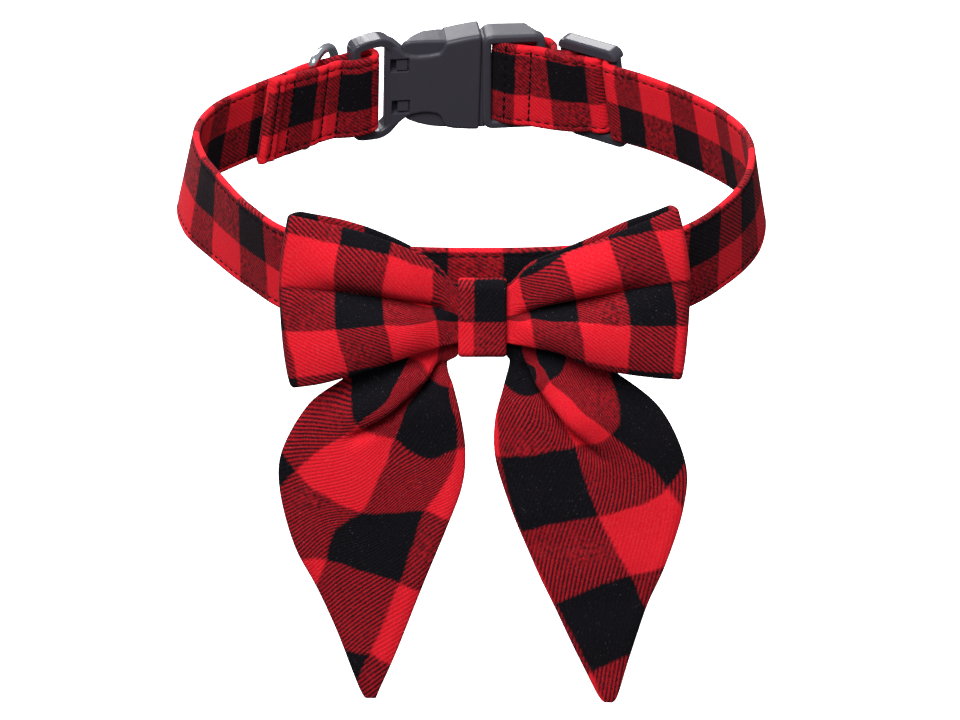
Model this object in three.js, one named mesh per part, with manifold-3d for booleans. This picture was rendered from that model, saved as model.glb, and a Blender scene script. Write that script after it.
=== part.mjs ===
// A pet bow tie collar: a plaid cloth collar strap closed by a side-release buckle, with a strap slide,
// a D-ring and a bow whose two tails hang down. It stands as it does when it is worn.
// Units are millimetres and +Z is up along the neck. The origin is at the middle of the loop, halfway up
// the strap. The bow is at -Y, the buckle at +Y, and +X is on the right of a person who faces the bow.
import * as THREE from "three";
import { mergeVertices } from "three/addons/utils/BufferGeometryUtils.js";
import Module from "manifold-3d";

const wasm = await Module();
wasm.setup();

const STRAP_WIDTH = 25;
const STRAP_THICKNESS = 2.0;
const STRAP_EDGE = { inset: 0.9, factor: 0.45 };
const FOLDED_END = { length: 5, factor: 1.5 };

// The hardware leans with the strap: its top tips towards the neck.
const HARDWARE_LEAN = 11;
const BUCKLE = { x: 0.7, y: 71.8, heading: 8, thickness: 9, height: 32 };
const FRAME_BEND = { x: -26, y: -2, turn: 16 };
const FRAME = { length: 10.4, thickness: 4.6, bar: 3.2, barThickness: 3.4, arm: 2.9 };
const CAVITY = { left: -25.2, half: 12.4, depth: 5.4 };
const WINDOW = { x: -22.4, z: 7, width: 4.8, height: 4 };
const MALE = { gap: 0.4, right: 19, front: -4.5, back: 2.5, half: 16 };
const MALE_SLOT = { left: 4, right: 15.4, half: 13.1, barBack: -1.2 };
const PRONG_THICKNESS = 4.2;
const GLIDE = { x: 33.8, y: 62.9, heading: -38, left: -10.4, right: 10, half: 16 };
const GLIDE_SLOTS = [
  { left: -7.7, right: -1.6 },
  { left: 1.6, right: 7.5 },
];
const GLIDE_BAR = 1.6;
const GLIDE_FRONT = -2.1;
const GLIDE_BACK = 2.5;

const RING = { x: -47.4, y: 52.5, wire: 1.4, half: 15, corner: 2.4, leg: 5, direction: 70, sides: 8 };

const BOW_CLOTH = 1.4;
const KNOT = { x: 1.6, width: 11.8, top: 7.2, bottom: -14.1, front: -81.2, back: -72.6, wall: 1.6 };
const PANEL = { frontAtKnot: -78.65, backAtKnot: -77.0, front: -82.8, back: -77.8 };
const TAIL_CLOTH = 1.6;
const TAIL = { depthAtKnot: -75.25, depth: -77.4, comesForward: [20, 36] };

const RED = 0xc8202e;
const BLACK_CLOTH = 0x24242a;
const BLACK_PLASTIC = 0x2b2b30;
const STEEL = 0xc9cbce;

const radians = THREE.MathUtils.degToRad;

function colour(hex, roughness, metalness) {
  return new THREE.MeshStandardMaterial({ color: hex, roughness, metalness });
}

// The places beside a piece of hardware that leans with the strap. A place is given along the piece and out
// from the neck, and comes back in the collar's own frame with the way the strap's top tips there.
function besideHardware(x, y, heading) {
  const c = Math.cos(radians(heading));
  const s = Math.sin(radians(heading));
  const lean = radians(HARDWARE_LEAN);
  return (along, out) => ({
    x: x + along * c - out * Math.cos(lean) * s,
    y: y + along * s + out * Math.cos(lean) * c,
    z: out * Math.sin(lean),
    tipX: Math.sin(lean) * s,
    tipY: -Math.sin(lean) * c,
  });
}

// A place on the free strap. Its top tips towards the neck by lean degrees, or away from it if negative.
function free(x, y, lean) {
  const radius = Math.hypot(x, y);
  const tip = Math.sin(radians(lean));
  return { x, y, z: 0, tipX: (-tip * x) / radius, tipY: (-tip * y) / radius };
}

const atBuckle = besideHardware(BUCKLE.x, BUCKLE.y, BUCKLE.heading);
const atGlide = besideHardware(GLIDE.x, GLIDE.y, GLIDE.heading);

// The receiving half's frame is bent on its body.
function atFrame(along, out) {
  const c = Math.cos(radians(FRAME_BEND.turn));
  const s = Math.sin(radians(FRAME_BEND.turn));
  return atBuckle(FRAME_BEND.x + along * c - out * s, FRAME_BEND.y + along * s + out * c);
}

// The line of the strap in plan, from its sewn end inside the left of the loop to its sewn end at the slide.
// Each row is a place and the number of steps from there to the next.
const STRAP_LINE = [
  { at: free(-59.2, 38.0, 11), steps: 3 },
  { at: free(-54.0, 43.4, 11), steps: 3 },
  { at: free(-45.4, 50.4, 11), steps: 3 },
  { at: free(-40.9, 55.6, 11), steps: 3 },
  { at: atFrame(-12.4, -4.4), steps: 2 },
  { at: atFrame(-8.4, -4.1), steps: 3 },
  { at: atFrame(-5.4, -2.5), steps: 2 },
  { at: atFrame(-4.7, 0.4), steps: 2 },
  { at: atFrame(-6.2, 3.1), steps: 3 },
  { at: atFrame(-9.8, 3.5), steps: 2 },
  { at: free(-38.4, 62.2, 11), steps: 2 },
  { at: free(-43.3, 58.8, 11), steps: 2 },
  { at: free(-49.3, 54.7, 11), steps: 3 },
  { at: free(-56.5, 46.2, 11), steps: 3 },
  { at: free(-63.6, 38.6, 11), steps: 4 },
  { at: free(-74.0, 24.4, 12), steps: 4 },
  { at: free(-78.2, 8.0, 13), steps: 4 },
  { at: free(-75.6, -9.0, 11), steps: 4 },
  { at: free(-69.3, -23.7, 5), steps: 4 },
  { at: free(-59.4, -43.0, -2), steps: 4 },
  { at: free(-47.6, -59.2, -5), steps: 4 },
  { at: free(-27.0, -68.4, -5), steps: 4 },
  { at: free(0.0, -70.9, -5), steps: 4 },
  { at: free(28.0, -68.6, -5), steps: 4 },
  { at: free(52.0, -58.2, -5), steps: 4 },
  { at: free(66.0, -39.6, 0), steps: 4 },
  { at: free(73.6, -20.5, 6), steps: 4 },
  { at: free(75.2, 3.0, 11), steps: 4 },
  { at: free(69.4, 19.8, 11), steps: 4 },
  { at: free(59.6, 34.2, 11), steps: 4 },
  { at: free(47.6, 46.8, 11), steps: 3 },
  { at: atGlide(10.8, -3.0), steps: 2 },
  { at: atGlide(7.2, -2.8), steps: 2 },
  { at: atGlide(5.7, -0.6), steps: 2 },
  { at: atGlide(5.1, 2.9), steps: 2 },
  { at: atGlide(2.0, 4.9), steps: 2 },
  { at: atGlide(-1.8, 4.9), steps: 2 },
  { at: atGlide(-4.4, 2.4), steps: 2 },
  { at: atGlide(-6.0, -1.2), steps: 2 },
  { at: atGlide(-10.4, -3.1), steps: 3 },
  { at: atBuckle(20.9, -2.4), steps: 2 },
  { at: atBuckle(19.6, 0.2), steps: 2 },
  { at: atBuckle(16.4, 0.9), steps: 3 },
  { at: atBuckle(9.4, 0.6), steps: 3 },
  { at: atBuckle(5.9, -1.6), steps: 3 },
  { at: atBuckle(8.4, -4.2), steps: 3 },
  { at: atBuckle(15.0, -7.2), steps: 3 },
  { at: atGlide(-10.4, -6.5), steps: 3 },
  { at: atGlide(-5.2, -4.8), steps: 2 },
  { at: atGlide(-1.6, -2.6), steps: 2 },
  { at: atGlide(1.3, -2.4), steps: 1 },
  { at: atGlide(2.8, -1.5), steps: 1 },
  { at: atGlide(3.3, 0), steps: 1 },
  { at: atGlide(2.8, 1.5), steps: 1 },
  { at: atGlide(1.3, 2.4), steps: 2 },
  { at: atGlide(-0.8, 2.4), steps: 0 },
];

// The front panels of the bow's two wings, by distance out from the middle of the knot.
const RIGHT_WING = [
  { out: 0, top: 3.8, bottom: -9.6, crease: -3.4 },
  { out: 6.4, top: 4.2, bottom: -10.0, crease: -3.6 },
  { out: 12, top: 10.4, bottom: -10.6, crease: -2.4 },
  { out: 20, top: 14.8, bottom: -12.2, crease: 0.4 },
  { out: 30, top: 19.6, bottom: -16.2, crease: 3.4 },
  { out: 43, top: 25.0, bottom: -18.6, crease: 6.8 },
  { out: 50, top: 28.2, bottom: -19.4, crease: 7.6 },
];
const LEFT_WING = [
  { out: 0, top: 3.8, bottom: -9.6, crease: -3.4 },
  { out: 6.4, top: 4.2, bottom: -10.0, crease: -2.6 },
  { out: 11, top: 11.6, bottom: -10.8, crease: -1.0 },
  { out: 18, top: 16.8, bottom: -12.6, crease: 0.8 },
  { out: 28, top: 20.8, bottom: -16.0, crease: 3.2 },
  { out: 40, top: 24.2, bottom: -20.2, crease: 5.6 },
  { out: 48, top: 26.4, bottom: -21.6, crease: 6.8 },
];
const WING_END = { bow: 3.2, columns: 6 };

// Each tail is a leaf. A row gives its outer and its inner edge, from the knot down to the tip.
const LEFT_TAIL = [
  { outerX: 1.2, outerZ: -1.6, innerX: 1.2, innerZ: -11.4 },
  { outerX: -8, outerZ: -3.6, innerX: -4.6, innerZ: -12.2 },
  { outerX: -20, outerZ: -10, innerX: -7.4, innerZ: -17.0 },
  { outerX: -33, outerZ: -21.5, innerX: -5.6, innerZ: -24.0 },
  { outerX: -43.2, outerZ: -29.5, innerX: -3.8, innerZ: -33.0 },
  { outerX: -50.2, outerZ: -42.5, innerX: -2.7, innerZ: -43.0 },
  { outerX: -51.0, outerZ: -54.5, innerX: -3.6, innerZ: -53.0 },
  { outerX: -47.6, outerZ: -70.0, innerX: -7.6, innerZ: -65.0 },
  { outerX: -42.0, outerZ: -82.8, innerX: -13.8, innerZ: -81.8 },
  { outerX: -36.2, outerZ: -97.6, innerX: -20.6, innerZ: -101.0 },
  { outerX: -31.0, outerZ: -113.6, innerX: -25.4, innerZ: -113.2 },
  { outerX: -29.4, outerZ: -116.6, innerX: -26.6, innerZ: -116.6 },
];
const RIGHT_TAIL = [
  { outerX: 2.0, outerZ: -1.6, innerX: 2.0, innerZ: -11.4 },
  { outerX: 12, outerZ: -3.2, innerX: 8.2, innerZ: -12.0 },
  { outerX: 22, outerZ: -9.6, innerX: 8.6, innerZ: -17.0 },
  { outerX: 33, outerZ: -18.6, innerX: 7.0, innerZ: -24.6 },
  { outerX: 47.2, outerZ: -30.2, innerX: 4.8, innerZ: -34.0 },
  { outerX: 54.2, outerZ: -46.0, innerX: 4.9, innerZ: -44.6 },
  { outerX: 53.9, outerZ: -60.0, innerX: 8.2, innerZ: -57.0 },
  { outerX: 49.6, outerZ: -76.0, innerX: 14.2, innerZ: -73.6 },
  { outerX: 44.8, outerZ: -89.0, innerX: 20.6, innerZ: -89.0 },
  { outerX: 40.6, outerZ: -104.2, innerX: 27.4, innerZ: -104.6 },
  { outerX: 37.6, outerZ: -115.6, innerX: 32.0, innerZ: -114.8 },
  { outerX: 36.0, outerZ: -117.6, innerX: 34.0, innerZ: -117.6 },
];

// A closed sheet of cloth round a grid of places on its middle surface. Half its thickness lies on each side,
// along the normal of the grid. A ring joins its last row to its first.
function clothSolid(grid, thickness, ring = false) {
  const rows = grid.length;
  const columns = grid[0].length;
  const row = (i) => (ring ? (i + rows) % rows : THREE.MathUtils.clamp(i, 0, rows - 1));
  const column = (j) => THREE.MathUtils.clamp(j, 0, columns - 1);
  const places = [];
  for (let i = 0; i < rows; i++) {
    for (let j = 0; j < columns; j++) {
      const along = grid[row(i + 1)][j].clone().sub(grid[row(i - 1)][j]);
      const across = grid[i][column(j + 1)].clone().sub(grid[i][column(j - 1)]);
      const half = thickness(i, j) / 2;
      const normal = along.cross(across).normalize().multiplyScalar(half);
      places.push(grid[i][j].clone().add(normal), grid[i][j].clone().sub(normal));
    }
  }
  const at = (i, j, side) => 2 * (row(i) * columns + j) + side;
  const faces = [];
  const quad = (a, b, c, d) => faces.push(a, b, c, a, c, d);
  for (let i = 0; i < (ring ? rows : rows - 1); i++) {
    for (let j = 0; j < columns - 1; j++) {
      quad(at(i, j, 0), at(i + 1, j, 0), at(i + 1, j + 1, 0), at(i, j + 1, 0));
      quad(at(i, j, 1), at(i, j + 1, 1), at(i + 1, j + 1, 1), at(i + 1, j, 1));
    }
    quad(at(i, 0, 1), at(i + 1, 0, 1), at(i + 1, 0, 0), at(i, 0, 0));
    quad(at(i, columns - 1, 0), at(i + 1, columns - 1, 0), at(i + 1, columns - 1, 1), at(i, columns - 1, 1));
  }
  if (!ring) {
    const last = rows - 1;
    for (let j = 0; j < columns - 1; j++) {
      quad(at(0, j, 0), at(0, j + 1, 0), at(0, j + 1, 1), at(0, j, 1));
      quad(at(last, j, 1), at(last, j + 1, 1), at(last, j + 1, 0), at(last, j, 0));
    }
  }
  const geometry = new THREE.BufferGeometry().setFromPoints(places);
  geometry.setIndex(faces);
  return geometry;
}

// Smooth values between the rows of a table: each named column is a curve through its rows.
function smoothTable(table, names) {
  const curves = names.map(
    (name) => new THREE.SplineCurve(table.map((entry, i) => new THREE.Vector2(i, entry[name]))),
  );
  return (t) => Object.fromEntries(names.map((name, i) => [name, curves[i].getPoint(t).y]));
}

function collarStrap() {
  const line = new THREE.CatmullRomCurve3(
    STRAP_LINE.map(({ at }) => new THREE.Vector3(at.x, at.y, at.z)),
    false,
    "centripetal",
  );
  const edge = STRAP_WIDTH / 2;
  const heights = [-edge, -edge + STRAP_EDGE.inset, 0, edge - STRAP_EDGE.inset, edge];
  const spans = STRAP_LINE.length - 1;
  const stations = STRAP_LINE.flatMap(({ steps }, i) =>
    Array.from({ length: steps }, (_, k) => (i + k / steps) / spans),
  );
  stations.push(1);
  const grid = stations.map((t) => {
    const place = line.getPoint(t);
    const i = Math.min(Math.floor(t * spans), spans - 1);
    const part = t * spans - i;
    const [from, to] = [STRAP_LINE[i].at, STRAP_LINE[i + 1].at];
    const tipX = THREE.MathUtils.lerp(from.tipX, to.tipX, part);
    const tipY = THREE.MathUtils.lerp(from.tipY, to.tipY, part);
    const rise = Math.sqrt(1 - tipX * tipX - tipY * tipY);
    return heights.map((h) => new THREE.Vector3(tipX, tipY, rise).multiplyScalar(h).add(place));
  });
  const start = grid[0][2];
  const thickness = (i, j) => {
    const folded = grid[i][2].distanceTo(start) < FOLDED_END.length ? FOLDED_END.factor : 1;
    return STRAP_THICKNESS * folded * (j === 0 || j === 4 ? STRAP_EDGE.factor : 1);
  };
  return clothSolid(grid, thickness);
}

function toManifold(geometry) {
  const bare = geometry.clone();
  bare.deleteAttribute("normal");
  bare.deleteAttribute("uv");
  const merged = mergeVertices(bare, 1e-4);
  return new wasm.Manifold(
    new wasm.Mesh({
      numProp: 3,
      vertProperties: new Float32Array(merged.attributes.position.array),
      triVerts: new Uint32Array(merged.index.array),
    }),
  );
}

function fromManifold(solid) {
  const mesh = solid.getMesh();
  return new THREE.BufferGeometry()
    .setAttribute("position", new THREE.BufferAttribute(new Float32Array(mesh.vertProperties), 3))
    .setIndex(new THREE.BufferAttribute(new Uint32Array(mesh.triVerts), 1));
}

// A block of hardware between two corners, x along it, y outward from the neck and z up.
function block(x0, x1, y0, y1, z0, z1) {
  return toManifold(
    new THREE.BoxGeometry(x1 - x0, y1 - y0, z1 - z0).translate((x0 + x1) / 2, (y0 + y1) / 2, (z0 + z1) / 2),
  );
}

// A plate whose outline is drawn in x and z, from y0 to y1, with its edges bevelled.
function plate(shape, y0, y1, bevel, curveSegments = 6) {
  const geometry = new THREE.ExtrudeGeometry(shape, {
    depth: y1 - y0 - 2 * bevel,
    bevelEnabled: bevel > 0,
    bevelThickness: bevel,
    bevelSize: bevel,
    bevelOffset: -bevel,
    bevelSegments: 2,
    curveSegments,
  });
  return toManifold(geometry.rotateX(Math.PI / 2).translate(0, y1 - bevel, 0));
}

// An outline from x0 to x1 and half high each way, with rounded corners.
function roundedOutline(x0, x1, half, leftRadius, rightRadius) {
  const shape = new THREE.Shape();
  shape.moveTo(x0 + leftRadius, -half);
  shape.lineTo(x1 - rightRadius, -half);
  shape.absarc(x1 - rightRadius, -half + rightRadius, rightRadius, -Math.PI / 2, 0);
  shape.lineTo(x1, half - rightRadius);
  shape.absarc(x1 - rightRadius, half - rightRadius, rightRadius, 0, Math.PI / 2);
  shape.lineTo(x0 + leftRadius, half);
  shape.absarc(x0 + leftRadius, half - leftRadius, leftRadius, Math.PI / 2, Math.PI);
  shape.lineTo(x0, -half + leftRadius);
  shape.absarc(x0 + leftRadius, -half + leftRadius, leftRadius, Math.PI, Math.PI * 1.5);
  return shape;
}

// The receiving half: a hollow body open at the seam, a window on each side of its front, a scoop in each
// side for the release buttons, and a bent frame whose end bar the strap is sewn round.
function femaleBuckle() {
  const front = -BUCKLE.thickness / 2;
  const half = BUCKLE.height / 2;
  const upper = [
    [0, half],
    [-8.6, half - 1.4],
    [-8.9, 11.4],
    [-10.4, 9.4],
    [-14.4, 9],
    [-18.4, 9.6],
    [-20.8, 11.6],
    [-24, half - 1.6],
    [-27, half],
  ];
  const shape = new THREE.Shape();
  shape.moveTo(...upper[0]);
  upper.slice(1).forEach(([x, z]) => shape.lineTo(x, z));
  [...upper].reverse().forEach(([x, z]) => shape.lineTo(x, -z));
  shape.closePath();
  const body = plate(shape, front, -front, 1.4).subtract(block(-28, FRAME_BEND.x, 0.6, 5, -17, 17));

  const frameFront = -FRAME.thickness / 2;
  const outline = roundedOutline(-FRAME.length, 1.5, half, 2.6, 1);
  const slot = half - FRAME.arm;
  const barRight = -FRAME.length + FRAME.bar;
  const barFront = -FRAME.barThickness / 2;
  const frame = plate(outline, frameFront, -frameFront, 0.8)
    .subtract(block(barRight, -1.4, -9, 9, -slot, slot))
    .subtract(block(-20, barRight + 0.1, -9, barFront, -slot, slot))
    .subtract(block(-20, barRight + 0.1, -barFront, 9, -slot, slot));
  const bentFrame = frame.rotate([0, 0, FRAME_BEND.turn]).translate([FRAME_BEND.x, FRAME_BEND.y, 0]);

  const inner = CAVITY.depth / 2;
  const cavity = block(CAVITY.left, 1, -inner, inner, -CAVITY.half, CAVITY.half);
  const windows = [-WINDOW.z, WINDOW.z].map((z) =>
    block(
      WINDOW.x - WINDOW.width / 2,
      WINDOW.x + WINDOW.width / 2,
      front - 1,
      0,
      z - WINDOW.height / 2,
      z + WINDOW.height / 2,
    ),
  );
  const whole = body.add(bentFrame).subtract(cavity);
  return fromManifold(windows.reduce((solid, window) => solid.subtract(window), whole));
}

// The plug half: a base with a slot and an end bar for the strap, two sprung prongs whose buttons show in
// the scoops, and a flat guide between them.
function maleBuckle() {
  const base = plate(roundedOutline(MALE.gap, MALE.right, MALE.half, 1.8, 5), MALE.front, MALE.back, 1.5)
    .subtract(block(MALE_SLOT.left, MALE_SLOT.right, -9, 9, -MALE_SLOT.half, MALE_SLOT.half))
    .subtract(block(MALE_SLOT.right - 0.1, 22, MALE_SLOT.barBack, 9, -MALE_SLOT.half, MALE_SLOT.half));
  const prong = (side) => {
    const outline = [
      [1.4, 6.4],
      [1.4, 9.8],
      [-9.4, 9.2],
      [-9.4, 15.8],
      [-13.2, 15.8],
      [-17.6, 14.6],
      [-20.4, 12.8],
      [-21, 11],
      [-19.6, 7.4],
      [-16, 6.2],
    ];
    const shape = new THREE.Shape(outline.map(([x, z]) => new THREE.Vector2(x, side * z)));
    return plate(shape, -PRONG_THICKNESS / 2, PRONG_THICKNESS / 2, 0.5);
  };
  const guide = block(-23.6, 1.4, -1.6, 1.6, -3.4, 3.4);
  return fromManifold(base.add(prong(1)).add(prong(-1)).add(guide));
}

// The strap slide: a frame with two slots, whose three bars are thinner than its sides.
function triGlide() {
  const slot = GLIDE.half - 2.9;
  const outline = roundedOutline(GLIDE.left, GLIDE.right, GLIDE.half, 2.8, 2.8);
  const frame = plate(outline, GLIDE_FRONT, GLIDE_BACK, 0.8);
  const thin = GLIDE_BAR / 2;
  const cuts = [
    block(GLIDE.left - 1, GLIDE.right + 1, GLIDE_FRONT - 1, -thin, -slot, slot),
    block(GLIDE.left - 1, GLIDE.right + 1, thin, GLIDE_BACK + 1, -slot, slot),
    ...GLIDE_SLOTS.map(({ left, right }) => block(left, right, -5, 5, -slot, slot)),
  ];
  return fromManifold(cuts.reduce((solid, cut) => solid.subtract(cut), frame));
}

// The wire ring: a straight bar held by the fold of the strap, two short legs and a half circle.
function dRing() {
  const { wire, half, corner, leg, sides } = RING;
  const arc = (cx, cz, radius, from, to, steps) =>
    Array.from({ length: steps + 1 }, (_, k) => {
      const angle = from + ((to - from) * k) / steps;
      return new THREE.Vector3(cx + radius * Math.cos(angle), 0, cz + radius * Math.sin(angle));
    });
  const points = [
    ...arc(corner, -half + corner, corner, Math.PI, Math.PI * 1.5, 3),
    ...arc(leg, 0, half, -Math.PI / 2, Math.PI / 2, 16),
    ...arc(corner, half - corner, corner, Math.PI / 2, Math.PI, 3),
  ];
  const rings = points.map((point, i) => {
    const before = points[(i + points.length - 1) % points.length];
    const after = points[(i + 1) % points.length];
    const tangent = after.clone().sub(before).normalize();
    const inPlane = new THREE.Vector3(-tangent.z, 0, tangent.x);
    return Array.from({ length: sides }, (_, k) => {
      const angle = (2 * Math.PI * k) / sides;
      return point
        .clone()
        .addScaledVector(inPlane, wire * Math.cos(angle))
        .add(new THREE.Vector3(0, wire * Math.sin(angle), 0));
    });
  });
  const faces = [];
  rings.forEach((_, i) => {
    const next = (i + 1) % rings.length;
    for (let k = 0; k < sides; k++) {
      const m = (k + 1) % sides;
      const [a, b, c, d] = [i * sides + k, next * sides + k, next * sides + m, i * sides + m];
      faces.push(a, b, c, a, c, d);
    }
  });
  return new THREE.BufferGeometry().setFromPoints(rings.flat()).setIndex(faces);
}

// The bow's wings are one flat loop of cloth. The knot pinches its middle, which makes a pleat in the front
// panel, and each end turns back in a soft fold.
function bowWings() {
  const names = ["out", "top", "bottom", "crease"];
  const columns = [0, 0.14, 0.34, 0.47, 0.53, 0.66, 0.86, 1];
  const panel = (table, side, isFront) => {
    const value = smoothTable(table, names);
    const steps = 2 * (table.length - 1);
    return Array.from({ length: steps + 1 }, (_, k) => {
      const row = value(k / steps);
      const spread = THREE.MathUtils.smoothstep(row.out, 7, 26);
      const knot = isFront ? PANEL.frontAtKnot : PANEL.backAtKnot;
      const far = isFront ? PANEL.front : PANEL.back;
      const middle = isFront ? row.crease : (row.top + row.bottom) / 2;
      return columns.map((s) => {
        const upper = s > 0.5;
        const z = upper
          ? THREE.MathUtils.mapLinear(s, 0.5, 1, middle, row.top)
          : THREE.MathUtils.mapLinear(s, 0, 0.5, row.bottom, middle);
        const lobe = Math.sin(Math.PI * (upper ? 2 * s - 1 : 2 * s));
        const puff = isFront ? 1.6 * lobe * spread : -0.2 * lobe * spread;
        const depth = THREE.MathUtils.lerp(knot, far, THREE.MathUtils.smoothstep(row.out, 6.4, 30));
        return new THREE.Vector3(KNOT.x + side * row.out, depth - puff, z);
      });
    });
  };
  const end = (front, back, side) => {
    const turn = [0.25, 0.5, 0.75];
    return turn.map((t) =>
      front.map((place, j) => {
        const s = columns[j];
        const reach = WING_END.bow * Math.sin(Math.PI * t) * (0.7 + 0.3 * Math.sin(Math.PI * s));
        const point = place.clone().lerp(back[j], (1 - Math.cos(Math.PI * t)) / 2);
        point.x += side * reach;
        return point;
      }),
    );
  };
  const frontRight = panel(RIGHT_WING, 1, true);
  const backRight = panel(RIGHT_WING, 1, false);
  const frontLeft = panel(LEFT_WING, -1, true);
  const backLeft = panel(LEFT_WING, -1, false);
  const endRight = end(frontRight.at(-1), backRight.at(-1), 1);
  const endLeft = end(backLeft.at(-1), frontLeft.at(-1), -1);
  const grid = [
    ...frontRight,
    ...endRight,
    ...backRight.reverse(),
    ...backLeft.slice(1),
    ...endLeft,
    ...frontLeft.reverse().slice(0, -1),
  ];
  return clothSolid(grid, () => BOW_CLOTH, true);
}

// A tail is a leaf of two layers sewn round the edge and turned, gathered into the knot at its top.
function bowTail(table, pleats, phase) {
  const value = smoothTable(table, ["outerX", "outerZ", "innerX", "innerZ"]);
  const rows = 26;
  const columns = 12;
  const grid = Array.from({ length: rows + 1 }, (_, i) => {
    const t = i / rows;
    const row = value(t);
    return Array.from({ length: columns + 1 }, (_, j) => {
      const s = j / columns;
      const z = THREE.MathUtils.lerp(row.outerZ, row.innerZ, s);
      const clear = THREE.MathUtils.smoothstep(-z, ...TAIL.comesForward);
      const fade = clear * Math.max(0, 1 - t * 1.25);
      const gather = 2.2 * fade * Math.sin(2 * Math.PI * pleats * s + phase);
      const crown = 1.6 * Math.sin(Math.PI * s) * clear * (1 - t);
      const depth = THREE.MathUtils.lerp(TAIL.depthAtKnot, TAIL.depth, clear);
      return new THREE.Vector3(THREE.MathUtils.lerp(row.outerX, row.innerX, s), depth - gather - crown, z);
    });
  });
  const thickness = (i, j) => TAIL_CLOTH * (j === 0 || j === columns || i === rows ? 0.7 : 1);
  return clothSolid(grid, thickness);
}

// The knot is a short sleeve of cloth drawn round the middle of the wings and the tops of the tails.
function bowKnot() {
  const inset = KNOT.wall / 2;
  const [front, back] = [KNOT.front + inset, KNOT.back - inset];
  const [bottom, top] = [KNOT.bottom + inset, KNOT.top - inset];
  const radius = 2;
  const corners = [
    { y: back - radius, z: bottom + radius, from: -90 },
    { y: back - radius, z: top - radius, from: 0 },
    { y: front + radius, z: top - radius, from: 90 },
    { y: front + radius, z: bottom + radius, from: 180 },
  ];
  const line = corners.flatMap(({ y, z, from }) =>
    [0, 30, 60, 90].map((step) => {
      const angle = radians(from + step);
      return { y: y + radius * Math.cos(angle), z: z + radius * Math.sin(angle) };
    }),
  );
  const acrossKnot = [-0.5, -0.42, 0, 0.42, 0.5];
  const grid = line.map(({ y, z }) =>
    acrossKnot.map((s) => new THREE.Vector3(KNOT.x + s * KNOT.width, y, z)),
  );
  return clothSolid(grid, (i, j) => KNOT.wall * (j === 0 || j === 4 ? 0.6 : 1), true);
}

function piece(name, geometry, material) {
  geometry.computeVertexNormals();
  const mesh = new THREE.Mesh(geometry, material);
  mesh.name = name;
  return mesh;
}

// A group placed on the collar: turned to its heading, then leaned so that its top tips towards the neck.
function leaned({ x, y }, heading) {
  const group = new THREE.Group();
  group.position.set(x, y, 0);
  group.rotation.set(radians(HARDWARE_LEAN), 0, radians(heading), "ZXY");
  return group;
}

const collar = new THREE.Group();

collar.add(piece("collar_strap", collarStrap(), colour(RED, 0.95, 0)));

const buckle = leaned(BUCKLE, BUCKLE.heading);
buckle.add(piece("female_buckle", femaleBuckle(), colour(BLACK_PLASTIC, 0.45, 0)));
buckle.add(piece("male_buckle", maleBuckle(), colour(BLACK_PLASTIC, 0.45, 0)));
collar.add(buckle);

const slide = leaned(GLIDE, GLIDE.heading);
slide.add(piece("tri_glide", triGlide(), colour(BLACK_PLASTIC, 0.45, 0)));
collar.add(slide);

// The ring leans with the strap at its bar, and is turned about the bar to lie towards the buckle.
const ringSeat = leaned(RING, Math.atan2(-RING.x, RING.y) * (180 / Math.PI));
const ring = piece("d_ring", dRing(), colour(STEEL, 0.2, 1));
ring.rotation.z = radians(RING.direction) - Math.atan2(-RING.x, RING.y);
ringSeat.add(ring);
collar.add(ringSeat);

const bow = new THREE.Group();
bow.add(piece("bow_wings", bowWings(), colour(RED, 0.95, 0)));
bow.add(piece("bow_knot", bowKnot(), colour(BLACK_CLOTH, 0.95, 0)));
bow.add(piece("tail_left", bowTail(LEFT_TAIL, 1.5, 0.4), colour(RED, 0.95, 0)));
bow.add(piece("tail_right", bowTail(RIGHT_TAIL, 1.5, 1.0), colour(RED, 0.95, 0)));
collar.add(bow);

export default collar;
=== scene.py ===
# A pet bow tie collar of checked flannel with black plastic hardware and a chrome wire ring, as it is worn.
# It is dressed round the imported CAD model. Sizes are in millimetres, and a mesh turns them to metres.
import math

import bpy
import numpy as np
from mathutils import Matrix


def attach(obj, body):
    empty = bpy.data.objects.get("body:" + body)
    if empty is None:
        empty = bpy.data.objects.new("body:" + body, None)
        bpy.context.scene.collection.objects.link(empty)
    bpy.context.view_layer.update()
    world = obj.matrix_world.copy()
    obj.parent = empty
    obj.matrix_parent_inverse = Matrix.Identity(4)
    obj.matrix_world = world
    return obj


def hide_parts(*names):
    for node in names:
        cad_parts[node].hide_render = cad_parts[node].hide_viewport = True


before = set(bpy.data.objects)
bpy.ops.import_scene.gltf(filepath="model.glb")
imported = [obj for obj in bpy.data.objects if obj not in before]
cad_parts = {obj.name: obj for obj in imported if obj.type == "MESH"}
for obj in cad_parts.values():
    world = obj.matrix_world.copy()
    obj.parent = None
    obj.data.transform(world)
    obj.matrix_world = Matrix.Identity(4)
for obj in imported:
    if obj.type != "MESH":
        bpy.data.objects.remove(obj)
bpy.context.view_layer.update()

# The camera stands where the photograph's did: in front of the bow, 26 degrees above it and well back, with
# a long lens. Its place and lens come from fitting the collar to the photograph.
PHOTO = {"width": 960, "height": 720}
SENSOR = 36.0
LENS = 160.0
TARGET = np.array([1.0, 0.0, -54.3])
DISTANCE = 1177.0
ELEVATION = math.radians(26)

camera_data = bpy.data.cameras.new("photo_camera")
camera_data.sensor_width = SENSOR
camera_data.lens = LENS
camera_data.clip_start = 0.05
camera_data.clip_end = 20.0
camera = bpy.data.objects.new("photo_camera", camera_data)
toward_camera = np.array([0.0, -math.cos(ELEVATION), math.sin(ELEVATION)])
camera.location = (TARGET + DISTANCE * toward_camera) / 1000
camera.rotation_euler = (math.pi / 2 - ELEVATION, 0, 0)
bpy.context.scene.collection.objects.link(camera)
bpy.context.scene.camera = camera


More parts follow.
